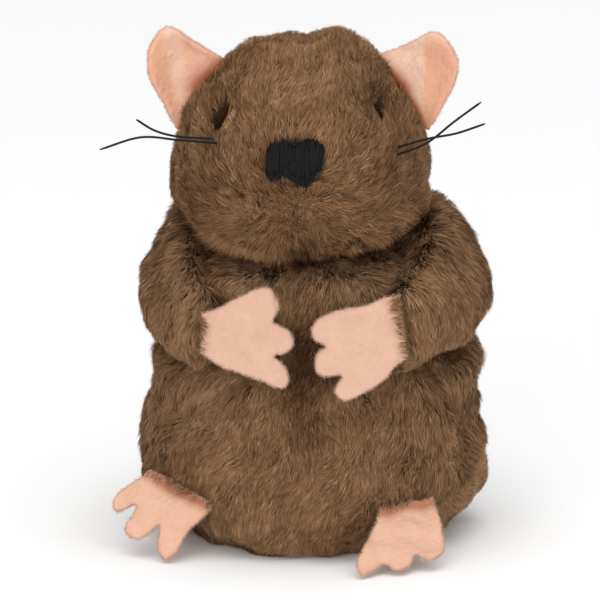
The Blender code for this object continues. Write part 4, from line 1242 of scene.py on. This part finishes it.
def make_neck():
    """The gathered edge of the pile fabric round the neck, which covers the neck's filling."""
    heights = np.linspace(-5.2, 5.4, 14)
    angles = np.arange(72) * 2 * math.pi / 72
    size = np.sqrt(10.45**2 - heights**2)
    ring = NECK + np.stack([size[:, None] * np.cos(angles), size[:, None] * np.sin(angles), heights[:, None] + 0 * angles], -1)
    up = unit(ring - NECK)
    ring = ring + up * (0.15 * ripple(ring, 4.0, 151))[..., None]
    wide = np.concatenate([ring, ring[:, :1]], axis=1)
    wide_up = np.concatenate([up, up[:, :1]], axis=1)
    obj = build("neck_skin", *shell(wide, wide - wide_up * 0.4), BACK_CLOTH)
    face_outwards(obj)
    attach(obj, "neck")
    rng = np.random.default_rng(152)
    roots, lift = scatter(wide, wide_up, DENSITY, rng)
    way = in_surface(np.array([0.0, 0.0, -1.0]) + 0.5 * rng.normal(size=(len(roots), 3)), lift)
    pile_on("neck_pile", roots, lift, way, "neck", np.full(len(roots), 3.2), np.full(len(roots), 1.9), np.full(len(roots), 0.50), seed=153)


def tube(points, radius, sides=8, taper=None):
    """A closed round tube along points: points and faces."""
    points = np.asarray(points, float)
    tangent = unit(np.gradient(points, axis=0))
    axis = np.array([0.0, 0.0, 1.0]) if abs(tangent[:, 2]).mean() < 0.8 else np.array([1.0, 0.0, 0.0])
    side = unit(np.cross(tangent, axis))
    lift = np.cross(side, tangent)
    angles = np.arange(sides) * 2 * math.pi / sides
    size = radius * (np.ones(len(points)) if taper is None else taper)
    rings = points[:, None] + size[:, None, None] * (np.cos(angles)[None, :, None] * side[:, None] + np.sin(angles)[None, :, None] * lift[:, None])
    made = [*rings.reshape(-1, 3), points[0], points[-1]]
    faces = grid_faces(len(points), sides, True).tolist()
    last = (len(points) - 1) * sides
    for k in range(sides):
        n = (k + 1) % sides
        faces.append([n, k, len(made) - 2])
        faces.append([last + k, last + n, len(made) - 1])
    return np.array(made), faces


def joined(parts):
    points, faces, start = [], [], 0
    for p, f in parts:
        points.append(p)
        faces += [[k + start for k in face] for face in f]
        start += len(p)
    return np.concatenate(points), faces


NOSE_TOP = [
    (-10.05, 93.6), (-9.7, 94.6), (-8.8, 95.5), (-7.5, 96.1), (-6.2, 96.5), (-5.0, 96.2), (-3.9, 95.2), (-2.9, 96.4), (-1.2, 97.0),
    (0.4, 96.8), (1.8, 96.3), (2.6, 95.5), (3.0, 94.4),
]
NOSE_LOW = [
    (-10.05, 93.4), (-9.86, 91.0), (-9.35, 89.2), (-8.8, 88.5), (-7.6, 88.9), (-6.2, 89.7), (-4.8, 89.4), (-3.4, 88.2), (-2.2, 87.4),
    (-0.8, 87.6), (0.6, 89.1), (1.3, 90.7), (2.3, 92.6), (3.0, 94.4),
]


def make_nose():
    """Satin stitches side by side, over a second layer, standing a little proud of the pile."""
    rng = np.random.default_rng(51)
    top, low = np.array(NOSE_TOP), np.array(NOSE_LOW)
    parts = []
    # The first layers fill the hollow of the pile, down to its backing.
    for layer, (lift, radius, step) in enumerate(((-2.2, 0.85, 0.8), (-1.0, 0.75, 0.7), (0.2, 0.40, 0.5), (0.7, 0.27, 0.30), (0.9, 0.20, 0.55))):
        edge = 0.75 if layer < 2 else 0.0
        for x in np.arange(-9.75 + edge + 0.1 * layer, 2.75 - edge, step):
            high = np.interp(x, top[:, 0], top[:, 1]) + rng.uniform(-0.75, 0.05) - edge
            down = np.interp(x, low[:, 0], low[:, 1]) + rng.uniform(-0.30, 0.55) + edge
            if high - down < 0.8:
                continue
            if layer == 4:
                high, down = high - rng.uniform(0, 2.5), down + rng.uniform(0, 2.5)
            z = np.linspace(down, high, 12)
            lean = rng.normal() * (0.5 if layer == 4 else 0.22)
            bow = 0.12 * rng.normal() * np.sin(np.linspace(0, math.pi, 12))
            xs = np.clip(x + lean * np.linspace(-1, 1, 12) + bow, -9.9 + rng.uniform(0, 0.5), 2.8 - rng.uniform(0, 0.4))
            share = np.linspace(-1, 1, 12)
            round_it = np.sqrt(np.clip(1 - share**2, 0, 1)) ** 0.7
            across = np.clip(1 - ((x + 3.6) / 7.2) ** 2, 0, 1) ** 0.5
            y = face_y(xs, z) + 1.1 - (lift + 1.4 * across) * round_it
            parts.append(tube(np.stack([xs, y, z], -1), radius * rng.uniform(0.9, 1.12), 6))
    obj = build("nose_stitches", *joined(parts), BLACK_THREAD)
    face_outwards(obj)
    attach(obj, "head")
    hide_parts("nose_embroidery")
    # Loose fluff of the thread round the nose's edge.
    rng = np.random.default_rng(52)
    n = 1500
    angle = rng.uniform(0, 2 * math.pi, n)
    share = np.where(rng.random(n) < 0.4, 1 + 0.04 * rng.normal(size=n), np.sqrt(rng.random(n)))
    x = -3.5 + 6.1 * np.cos(angle) * share
    z = 92.3 + 4.6 * np.sin(angle) * share
    roots = np.stack([x, face_y(x, z) + 0.6 - 1.7 * np.clip(1 - share**2, 0, 1) ** 0.5, z], -1)
    outward = unit(np.stack([np.cos(angle) * share, -0.7 + 0 * angle, np.sin(angle) * share], -1) + 0.6 * rng.normal(size=(n, 3)))
    lines = roots[:, None] + outward[:, None] * (rng.uniform(0.3, 0.8, n)[:, None, None] * np.linspace(0, 1, 3)[None, :, None])
    fluff = strand_mesh("nose_fluff", lines, unit(-roots + HEAD_CENTRE + 1e-3) * -1, np.full(n, 0.07), np.full(n, 0.3), rng, BLACK_FLUFF)
    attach(fluff, "head")


def make_eyes():
    for side, ends in EYES.items():
        a, b = np.array(ends[0]), np.array(ends[-1])
        parts = []
        rng = np.random.default_rng(61 if side == "left" else 62)
        for k in range(3):
            share = np.linspace(0.0, 1.0, 14)[:, None]
            flat = along(ends, share[:, 0]) + (k - 1) * 0.26 * np.array([(b - a)[1], -(b - a)[0]]) / np.linalg.norm(b - a)
            flat = flat + rng.normal(size=2) * 0.06
            z = on_face(flat[:, 0], flat[:, 1])
            points = np.stack([flat[:, 0], face_y(flat[:, 0], z), z], -1)
            sunk = (2.6, -1.5, 0.55) if side == "left" else (2.7, -0.5, 0.7)
            sag = sunk[0] + sunk[1] * np.clip(share[:, 0], 0, 1) + sunk[2] * eye_depth(points)
            parts.append(tube(towards(points, HEAD_CENTRE, sag[:, None]), 0.3, 7))
        obj = build(f"{side}_eye_thread", *joined(parts), BLACK_THREAD)
        face_outwards(obj)
        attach(obj, "head")
        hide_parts(f"{side}_eye_stitch")


def make_lash():
    """Pale tips of the pile that lie against the lower edge of the left eye."""
    rng = np.random.default_rng(65)
    n = 80
    t = rng.uniform(0.40, 1.0, n)
    flat = along(EYES["left"], t) + np.stack([rng.uniform(0.8, 1.5, n), rng.uniform(-1.0, -0.5, n)], -1)
    z = on_face(flat[:, 0], flat[:, 1])
    roots = np.stack([flat[:, 0], face_y(flat[:, 0], z), z], -1)
    lift = unit(roots - HEAD_CENTRE)
    roots = roots - lift * 1.6
    way = in_surface(np.array([-0.55, 0.0, 0.85]) + 0.35 * rng.normal(size=(n, 3)), lift)
    lines = strand_lines(roots, lift, way, rng.uniform(1.1, 1.9, n), rng.uniform(0.5, 0.9, n), 0.1, rng, STAGES)
    lash = strand_mesh("left_eye_pile", lines, lift, np.full(n, 0.11), rng.uniform(0.60, 0.88, n), rng, PILE)
    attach(lash, "head")


def make_whiskers():
    for name, route in WHISKERS.items():
        points = np.array(route, float)
        x, _, z = points[0]
        points[0] = (x, face_y(x, z) + 1.6, z)
        line = along(points, np.linspace(0, 1, 48))
        taper = np.ones(48)
        taper[-3:] = (0.95, 0.8, 0.55)
        obj = build(name + "_thread", *tube(line, 0.255, 10, taper), WHISKER_THREAD)
        face_outwards(obj)
        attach(obj, "head")
        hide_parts(name)


# ---------------------------------------------------------------- felt
def felt_solid(name, points, faces, material, body, replaced, root_shade_of, voxel=0.42):
    """Turns a closed block of felt into a soft-edged piece with an uneven surface."""
    obj = build(name, points, faces, material)
    face_outwards(obj)
    remesh = obj.modifiers.new("even", "REMESH")
    remesh.mode = "VOXEL"
    remesh.voxel_size = voxel * MM
    soft = obj.modifiers.new("soft", "SMOOTH")
    soft.factor, soft.iterations = 0.5, 4
    graph = bpy.context.evaluated_depsgraph_get()
    final = bpy.data.meshes.new_from_object(obj.evaluated_get(graph))
    old = obj.data
    obj.modifiers.clear()
    obj.data = final
    bpy.data.meshes.remove(old)
    final.name = name
    co = np.empty(len(final.vertices) * 3, np.float32)
    up = np.empty(len(final.vertices) * 3, np.float32)
    final.vertices.foreach_get("co", co)
    final.vertex_normals.foreach_get("vector", up)
    co, up = co.reshape(-1, 3) / MM, up.reshape(-1, 3).astype(float)
    co = co + up * (-0.04 + 0.05 * ripple(co, 1.6, 71) + 0.05 * ripple(co, 0.9, 72) + 0.06 * ripple(co, 4.0, 73))[:, None]
    final.vertices.foreach_set("co", (co * MM).astype(np.float32).ravel())
    final.update()
    final.shade_smooth()
    # The painted shade where the felt goes into the pile, kept on the mesh for its material.
    near = root_shade_of(co)
    attribute = final.attributes.new("root_shade", "FLOAT", "POINT")
    attribute.data.foreach_set("value", near.astype(np.float32))
    if not len(final.materials):
        final.materials.append(material)
    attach(obj, body)
    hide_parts(replaced)
    return obj, co, up


def felt_fuzz(name, co, up, axis, keep, body, material, seed, count, tone):
    """Fine short fibres standing off the felt, most of them along its cut edges."""
    rng = np.random.default_rng(seed)
    edge = np.clip(1 - np.abs(up @ axis), 0, 1) ** 0.5
    odds = (0.12 + edge) * keep
    pick = rng.choice(len(co), count, p=odds / odds.sum())
    roots, lift = co[pick] + rng.normal(size=(count, 3)) * 0.15, up[pick]
    sideways = in_surface(rng.normal(size=(count, 3)), lift)
    out = unit(sideways + lift * rng.uniform(0.1, 0.7, (count, 1)))
    length = rng.uniform(0.2, 0.5, count) + 0.35 * edge[pick] * rng.random(count)
    bend = unit(rng.normal(size=(count, 3)))
    s = np.linspace(0, 1, 3)[None, :, None]
    lines = (roots - lift * 0.05)[:, None] + out[:, None] * length[:, None, None] * s + bend[:, None] * (0.15 * s**2)
    obj = strand_mesh(name, lines, lift, np.full(count, 0.06), np.clip(tone + 0.12 * rng.normal(size=count), 0, 1), rng, material, roll=1.2)
    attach(obj, body)
    return obj


def felt_area(points, faces):
    total = 0.0
    for f in faces:
        p = np.asarray([points[k] for k in f], float)
        for k in range(1, len(f) - 1):
            total += np.linalg.norm(np.cross(p[k] - p[0], p[k + 1] - p[0])) / 2
    return total / 2


def rounded(outline, per=7):
    """A smooth closed line through the corners of an outline, which keeps its root edge straight."""
    pts = np.array(outline, float)
    n = len(pts)
    made = [pts[0]]
    for k in range(1, n):
        a, b, c, d = pts[k - 1], pts[k], pts[(k + 1) % n], pts[(k + 2) % n]
        if k == 1:
            a = b + (b - c) * 0.3
        if k == n - 1:
            d = c + (c - b) * 0.3
        for f in np.arange(per) / per:
            made.append(0.5 * (2 * b + (c - a) * f + (2 * a - 5 * b + 4 * c - d) * f**2 + (3 * b - 3 * c + d - a) * f**3))
    return np.array(made)


def make_felt(name, body, material, bend, seed):
    at, across, forward = (np.array(v, float) for v in FELT_FRAMES[name])
    across = unit(across)
    forward = unit(forward - across * (forward @ across))
    normal = np.cross(across, forward)
    if normal @ TO_VIEWER < 0:
        normal = -normal
    outline = rounded(FELT_OUTLINES[name])
    count = len(outline)
    flat = at + outline[:, :1] * across + outline[:, 1:] * forward
    sheet = bmesh.new()
    verts = [sheet.verts.new(p.tolist()) for p in flat]
    edges = [sheet.edges.new((verts[k], verts[(k + 1) % count])) for k in range(count)]
    bmesh.ops.triangle_fill(sheet, use_beauty=True, use_dissolve=False, edges=edges)
    faces = [[v.index for v in f.verts] for f in sheet.faces] if sheet.verts.index_update() is None else []
    sheet.free()
    thick = FELT * 0.72 / 2
    points = np.concatenate([flat - normal * thick, flat + normal * thick])
    solid = [*faces, *[[k + count for k in f[::-1]] for f in faces]]
    solid += [[k, (k + 1) % count, (k + 1) % count + count, k + count] for k in range(count)]

    hem_line = np.array(HEM_LINES[name])
    hem_line = hem_line[np.argsort(hem_line[:, 0])]

    # Painted shade where the felt goes under the pile, strong on the feet and faint on the paws.
    def root_shade(co):
        side_on = (co - at) @ across
        ahead = (co - at) @ forward - np.interp(side_on, hem_line[:, 0], hem_line[:, 1])
        ahead = ahead + 0.35 * ripple(np.stack([side_on, 0 * side_on, 0 * side_on], -1), 5.0, seed + 3)
        return (0.80 if material is FOOT_FELT else 0.10) * np.clip(1 - ahead / 2.3, 0, 1) ** 1.8

    obj, co, up = felt_solid(name + "_felt", points, solid, material, body, name, root_shade)
    # Each digit and the palm bend a little, as cut felt does.
    along_it, across_it = (co - at) @ forward, (co - at) @ across
    lift = bend * (np.clip(along_it, 0, None) / 14.0) ** 2 + 0.35 * ripple(np.stack([across_it, along_it, 0 * along_it], -1), 9.0, seed)
    co = co + normal * lift[:, None]
    obj.data.vertices.foreach_set("co", (co * MM).astype(np.float32).ravel())
    obj.data.update()
    fuzz = felt_fuzz(name + "_fuzz", co, up, normal, 1.0 + 0 * along_it, body, FELT_FLUFF[material.name], seed, 8000, 0.5)
    face = at + normal * 0.75
    start, end = (face + a * across + f * forward for a, f in HEM_LINES[name])
    felt_tree = BVHTree.FromPolygons(co.tolist(), [list(p.vertices) for p in obj.data.polygons])
    if "paw" in name:
        parent = name.replace("paw", "arm")
        hem(name + "_hem", parent, start, end, forward, normal, (1.5, 5.4), seed + 40, 2.7, 1.1, 0.54, (0, 0, -0.45), per_mm=44, wild=0.3, trees=[felt_tree, *SKINS[parent]])
    else:
        droop = (0, 0, -0.2) if name == "left_foot" else (-0.25, 0, -0.2)
        hem(name + "_hem", "torso", start, end, forward, normal, (1.3, 5.8), seed + 40, 2.7, 1.2, 0.50, droop, per_mm=44, wild=0.25, trees=[felt_tree, *SKINS["torso"]])


def laid(points, trees, most):
    """Points moved back from the viewer towards the first surface under them, by at most that many mm, and whether each then lies on one."""
    made, kept = points.copy(), np.zeros(len(points), bool)
    for k, p in enumerate(points):
        start = p + TO_VIEWER * 6.0
        ways = [tree.ray_cast(start.tolist(), (-TO_VIEWER).tolist(), 16.0)[3] for tree in trees]
        ways = [w for w in ways if w is not None]
        if ways and min(ways) < 11.0:
            made[k] = start - TO_VIEWER * np.clip(min(ways), 6.0, 6.0 + most)
            kept[k] = min(tree.find_nearest(made[k].tolist())[3] for tree in trees) < 1.1
    return made, kept


def hem(name, body, start, end, out, facing, depth, seed, length=3.2, height=1.3, tone=0.52, droop=None, per_mm=30, wild=0.2, trees=()):
    """Pile that hangs over the root of a piece of felt."""
    rng = np.random.default_rng(seed)
    start, end, out, facing = (np.array(v, float) for v in (start, end, out, facing))
    n = int(np.linalg.norm(end - start) * per_mm)
    t = rng.random((n, 1))
    roots = start + (end - start) * t - out * rng.uniform(depth[0], depth[1], (n, 1)) + facing * rng.uniform(-0.3, 0.3, (n, 1))
    roots, kept = laid(roots, trees, 0.3)
    roots, n = roots[kept], int(kept.sum())
    normals = unit(np.repeat(facing[None], n, 0) + 0.15 * rng.normal(size=(n, 3)))
    way = np.repeat(out[None], n, 0) if droop is None else unit(np.repeat((out + np.array(droop))[None], n, 0))
    way = turned(in_surface(way, normals), normals, wild * rng.normal(size=n))
    pile_on(name, roots, normals, way, body, length * rng.uniform(0.6, 1.15, n), np.full(n, height), np.full(n, tone), seed=seed)


def make_ear(side):
    sign = -1 if side == "left" else 1
    low, high = EAR_ROOTS[side]
    rows, columns = 44, 24
    rim = along(EAR_RIMS[side], np.linspace(0, 1, rows))
    out_of_head = np.array([sign * 0.8, 0.6])
    ease = np.linspace(0, 1, rows)[:, None]
    rim = rim - out_of_head * (0.5 + 1.9 * np.clip(1 - ease / 0.36, 0, 1))
    heights = np.linspace(low, high, rows)
    root = np.array([(HEAD_CENTRE[0] + sign * (head_half_width(z) - 2.6), z) for z in heights])
    across = np.linspace(0, 1, columns)
    middle = np.empty((rows, columns, 3))
    arch = np.sin(np.linspace(0.15, math.pi - 0.15, rows))
    for k, v in enumerate(across):
        flat = root * (1 - v) + rim * v
        middle[:, k, 0] = flat[:, 0]
        middle[:, k, 1] = SEAM_Y + 0.85 * EAR_CUP * (math.sin(math.pi * v) ** 2 * 0.9 + 0.1 * 4 * v * (1 - v)) * arch**2
        middle[:, k, 2] = flat[:, 1]
    if side == "right":
        # The near edge is folded forward over the cup, along an upright line.
        fold = np.clip((EAR_FOLD - middle[..., 0]) / 4.0, 0, 1) ** 0.8 * arch[:, None] * np.clip(1 - 0.9 * across[None, :], 0, 1)
        middle[..., 1] -= 1.7 * fold
    normal = grid_normals(middle, False)
    normal = normal * np.sign(normal[..., 1].mean()) * -1
    thick = FELT * 0.72 / 2
    points, faces = shell(middle + normal * thick, middle - normal * thick)

    # Painted shade where the ear goes into the pile.
    def root_shade(co):
        z = co[:, 2]
        edge = np.array([HEAD_CENTRE[0] + sign * head_half_width(k) for k in np.linspace(88, 112, 60)])
        away = sign * (co[:, 0] - np.interp(z, np.linspace(88, 112, 60), edge))
        reach = np.interp(z, *(((96.0, 98.5, 102.0, 106.5, 109.0), (0.6, 1.0, 1.5, 1.5, 0.8)) if side == "left" else ((96.0, 102.0, 106.0, 109.0), (0.55, 1.0, 1.15, 0.9))))
        away = (away + 1.6) / reach - 1.6
        away = away + 0.25 * ripple(np.stack([z, 0 * z, 0 * z], -1), 5.0, 75)
        return np.interp(away, (-1.6, -0.7, 0.2, 1.1, 2.0, 2.9, 3.8), (1.0, 0.80, 0.50, 0.27, 0.14, 0.06, 0.0))

    def in_cup(co):
        """Painted shade in the ear's cup: how far into the cup the felt is painted darker."""
        share = np.clip((co[:, 2] - low) / (high - low), 0, 1)
        inner = np.interp(co[:, 2], heights, root[:, 0])
        outer = np.interp(share, np.linspace(0, 1, 40), along(EAR_RIMS[side], np.linspace(0, 0.62, 40))[:, 0])
        v = np.clip((co[:, 0] - inner) / (outer - inner), 0, 1)
        if side == "left":
            # Along a crease that runs down the cup, leaning in, the painted shade is left out, so it is paler.
            crease = co[:, 0] - np.interp(co[:, 2], (96.0, 113.0), (-28.4, -31.6))
            return np.interp(crease, (-4.0, -1.6, 0.0, 1.5, 4.0), (1.0, 0.9, 0.1, 0.3, 0.75)) * np.clip((115.5 - co[:, 2]) / 3.0, 0, 1) + 0 * v
        return np.clip((co[:, 0] - EAR_FOLD + 0.3) / 0.7, 0, 1) * np.clip((113.5 - co[:, 2]) / 4.0, 0, 1)

    obj, co, up = felt_solid(f"{side}_ear_felt", points, faces, EAR_FELT, f"{side}_ear", f"{side}_ear", root_shade)
    cup = obj.data.attributes.new("in_cup", "FLOAT", "POINT")
    cup.data.foreach_set("value", in_cup(co).astype(np.float32))
    clear = (root_shade(co) < 0.12).astype(float)
    fuzz = felt_fuzz(f"{side}_ear_fuzz", co, up, np.array([0.0, 1.0, 0.0]), clear, f"{side}_ear", FELT_FLUFF[EAR_FELT.name], 81 if sign < 0 else 82, 8000, 0.5)


# ---------------------------------------------------------------- arms
def shoulder(points, side):
    """Raises the top of the sleeve next to the cheek and slopes it down outwards."""
    away = points[..., 0] * side
    top = np.clip((points[..., 2] - 56.0) / 9.0, 0, 1)
    top = top * top * (3 - 2 * top)
    rise = 4.8 * np.exp(-(((away - 25.5) / 4.4) ** 2)) - 1.4 * np.clip((away - 31.5) / 4.0, 0, 1)
    moved = points.copy()
    moved[..., 2] += top * rise
    return settled(moved, SLEEVES, 26.0, 7.0)


def make_arm(side, seed):
    arm = ARMS[side]
    body = f"{side}_arm"
    sides = 40
    angles = np.arange(sides) * 2 * math.pi / sides - math.pi / 2
    heart = arm_spine(arm, np.array(0.3))[0]
    outer = arm_rings(arm, 24, angles, 10)
    skin = shoulder(towards(outer, heart, 2.4), arm["side"])
    rows = len(skin)
    pins = np.zeros((rows, sides), bool)
    pins[:, (0, sides // 2)] = True
    pins[(0, -1), :] = True
    skin = puffed(f"{side}_arm_in_work", skin, pins, 0.7)
    skin, sides = finer(skin), 2 * sides
    skin = skin + unit(skin - heart) * (0.3 * ripple(skin, 9.0, seed + 1))[..., None]
    normals = unit(grid_normals(skin, True) * 0.8 + unit(skin - heart) * 0.2)
    # Close the wrist and the back of the shoulder with rings that run to their middles.
    def capped(ring_points, ring_normals):
        first, last = ring_points[0].mean(0), ring_points[-1].mean(0)
        head = [first + (ring_points[0] - first) * k for k in (0.02, 0.5)]
        tail = [last + (ring_points[-1] - last) * k for k in (0.8, 0.5, 0.02)]
        ends = unit(first - heart), unit(last - heart)
        up_head = [np.repeat(ends[0][None], sides, 0)] * 2
        up_tail = [np.repeat(ends[1][None], sides, 0)] * 3
        return np.array([*head, *ring_points, *tail]), np.array([*up_head, *ring_normals, *up_tail])

    whole, up = capped(skin, normals)
    ring = np.concatenate([whole, whole[:, :1]], axis=1)
    ring_up = np.concatenate([up, up[:, :1]], axis=1)
    half = sides // 2
    for name, columns, replaced in (
        (f"{side}_arm_outer_skin", slice(0, half + 1), f"{side}_arm_outer_panel"),
        (f"{side}_arm_inner_skin", slice(half, sides + 1), f"{side}_arm_inner_panel"),
    ):
        part, part_up = ring[:, columns], ring_up[:, columns]
        obj = build(name, *shell(part, part - part_up * 0.5), BACK_CLOTH)
        face_outwards(obj)
        note_skin(body, part)
        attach(obj, body)
        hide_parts(replaced)
    rng = np.random.default_rng(seed)
    roots, lift = scatter(ring, ring_up, DENSITY, rng)
    wrist = np.array(arm["wrist"])
    down = np.array([0.0, -0.1, -1.0]) + 0.2 * unit(roots - heart)
    way = combed(roots, lift, ARM_GUIDES, 3.6, down)
    top = np.clip((roots[:, 2] - 60) / 8, 0, 1)
    end = np.exp(-((roots - wrist) ** 2).sum(-1) / (2 * 5.0**2))
    length = 3.7 + 0.7 * top - 0.9 * end
    height = 2.2 + 0.4 * top - 0.8 * end
    tone = 0.57 - 0.05 * np.clip((roots[:, 2] - 64.0) / 6.0, 0, 1) + 0.0 * end
    pile_on(f"{side}_arm_pile", roots, lift, way, body, length, height, tone, seed=seed + 5)


# ---------------------------------------------------------------- the whole toy
FELT_FLUFF = {
    "ear_felt": pile_material("ear_fluff", [(0.0, (0.66, 0.38, 0.29)), (1.0, (0.76, 0.56, 0.48))], grey((0.0, 0.95), (1.0, 1.0))),
    "paw_felt": pile_material("paw_fluff", [(0.0, (0.60, 0.40, 0.31)), (1.0, (0.74, 0.56, 0.46))], grey((0.0, 0.95), (1.0, 1.0))),
    "foot_felt": pile_material("foot_fluff", [(0.0, (0.66, 0.41, 0.29)), (1.0, (0.78, 0.58, 0.47))], grey((0.0, 0.95), (1.0, 1.0))),
}
BLACK_FLUFF = pile_material("black_fluff", [(0.0, (0.008, 0.008, 0.008)), (1.0, (0.05, 0.05, 0.05))], grey((0.0, 1.0), (1.0, 1.0)))

make_torso()
make_base()
make_head()
make_chin()
make_neck()
make_nose()
make_eyes()
make_lash()
make_whiskers()
for ear_side in ("left", "right"):
    make_ear(ear_side)
make_arm("left", 121)
make_arm("right", 131)
make_felt("left_paw", "left_paw", PAW_FELT, -1.6, 91)
make_felt("right_paw", "right_paw", PAW_FELT, -1.4, 92)
make_felt("left_foot", "left_foot", FOOT_FELT, -0.6, 93)
make_felt("right_foot", "right_foot", FOOT_FELT, -0.6, 94)
make_filling("body_stuffing", "body_filling", "torso", 2.4, 141)
make_filling("neck_stuffing", "neck_filling", "neck", 1.6, 142)
make_filling("head_stuffing", "head_filling", "head", 2.0, 143, under_eyes=True)
make_filling("left_arm_stuffing", "left_arm_filling", "left_arm", 1.4, 144, sleeve="left")
make_filling("right_arm_stuffing", "right_arm_filling", "right_arm", 1.4, 145, sleeve="right")
make_filling("catnip_pouch", "herb_pouch", "torso", 0.9, 146, POUCH_CLOTH)
make_sewing("closing_stitches", "slit_thread", "torso", TORSO_CENTRE, 3.6)
make_sewing("neck_seam_thread", "neck_thread", "neck", NECK, 0.0)

# ---------------------------------------------------------------- floor, light and camera
floor_material, floor_tree, floor_shader = new_material("pale_floor")
floor_noise = node(floor_tree, "ShaderNodeTexNoise", in_Scale=3.0, in_Detail=3.0)
floor_coords = floor_tree.nodes.new("ShaderNodeTexCoord")
floor_tree.links.new(floor_coords.outputs["Object"], floor_noise.inputs["Vector"])
floor_tree.links.new(ramp(floor_tree, floor_noise.outputs["Fac"], grey((0.3, 0.965), (0.7, 0.98))), floor_shader.inputs["Base Color"])
floor_shader.inputs["Roughness"].default_value = 0.9
floor_shader.inputs["Specular IOR Level"].default_value = 0.1
lines = np.linspace(-9000.0, 9000.0, 25)
plane = np.array([[(x, y, -0.02) for y in lines] for x in lines])
floor = build("floor", plane.reshape(-1, 3), grid_faces(25, 25, False)[:, ::-1], floor_material)

world = bpy.data.worlds.new("studio")
bpy.context.scene.world = world
world.use_nodes = True
world.node_tree.nodes["Background"].inputs["Color"].default_value = (1.0, 1.0, 1.0, 1.0)
world.node_tree.nodes["Background"].inputs["Strength"].default_value = 0.62


def area_light(name, at, aim, size, power, colour=(1.0, 1.0, 1.0)):
    data = bpy.data.lights.new(name, "AREA")
    data.shape = "DISK"
    data.size = size
    data.energy = power
    data.color = colour
    obj = bpy.data.objects.new(name, data)
    bpy.context.scene.collection.objects.link(obj)
    obj.location = at
    way = np.array(aim) - np.array(at)
    from mathutils import Vector

    obj.rotation_mode = "QUATERNION"
    obj.rotation_quaternion = Vector(way.tolist()).to_track_quat("-Z", "Y")
    return obj


area_light("key", (-0.45, -1.05, 0.42), (0.0, 0.0, 0.06), 0.8, 4.5, (1.0, 0.985, 0.965))
area_light("fill", (0.60, -1.05, 0.30), (0.0, 0.0, 0.05), 0.9, 3.2, (0.98, 0.99, 1.0))
area_light("top", (0.05, -0.2, 1.3), (0.0, 0.0, 0.05), 1.5, 8.6)
area_light("front", (0.02, -1.25, 0.36), (0.0, 0.0, 0.05), 0.35, 1.5)

camera_data = bpy.data.cameras.new("camera")
camera_data.sensor_width = 36.0
DISTANCE = 4.0
camera_data.lens = 36.0 * (DISTANCE - 0.0116) / 0.132
camera_data.clip_start = 0.1
camera_data.clip_end = 20.0
camera = bpy.data.objects.new("camera", camera_data)
bpy.context.scene.collection.objects.link(camera)
aim = np.array([-2.4, 0.0, 51.2]) * MM
camera.location = (aim + TO_VIEWER * DISTANCE).tolist()
camera.rotation_euler = (math.pi / 2 - TILT, 0.0, 0.0)
bpy.context.scene.camera = camera
bpy.context.scene.view_settings.view_transform = "Standard"
bpy.context.scene.view_settings.look = "None"
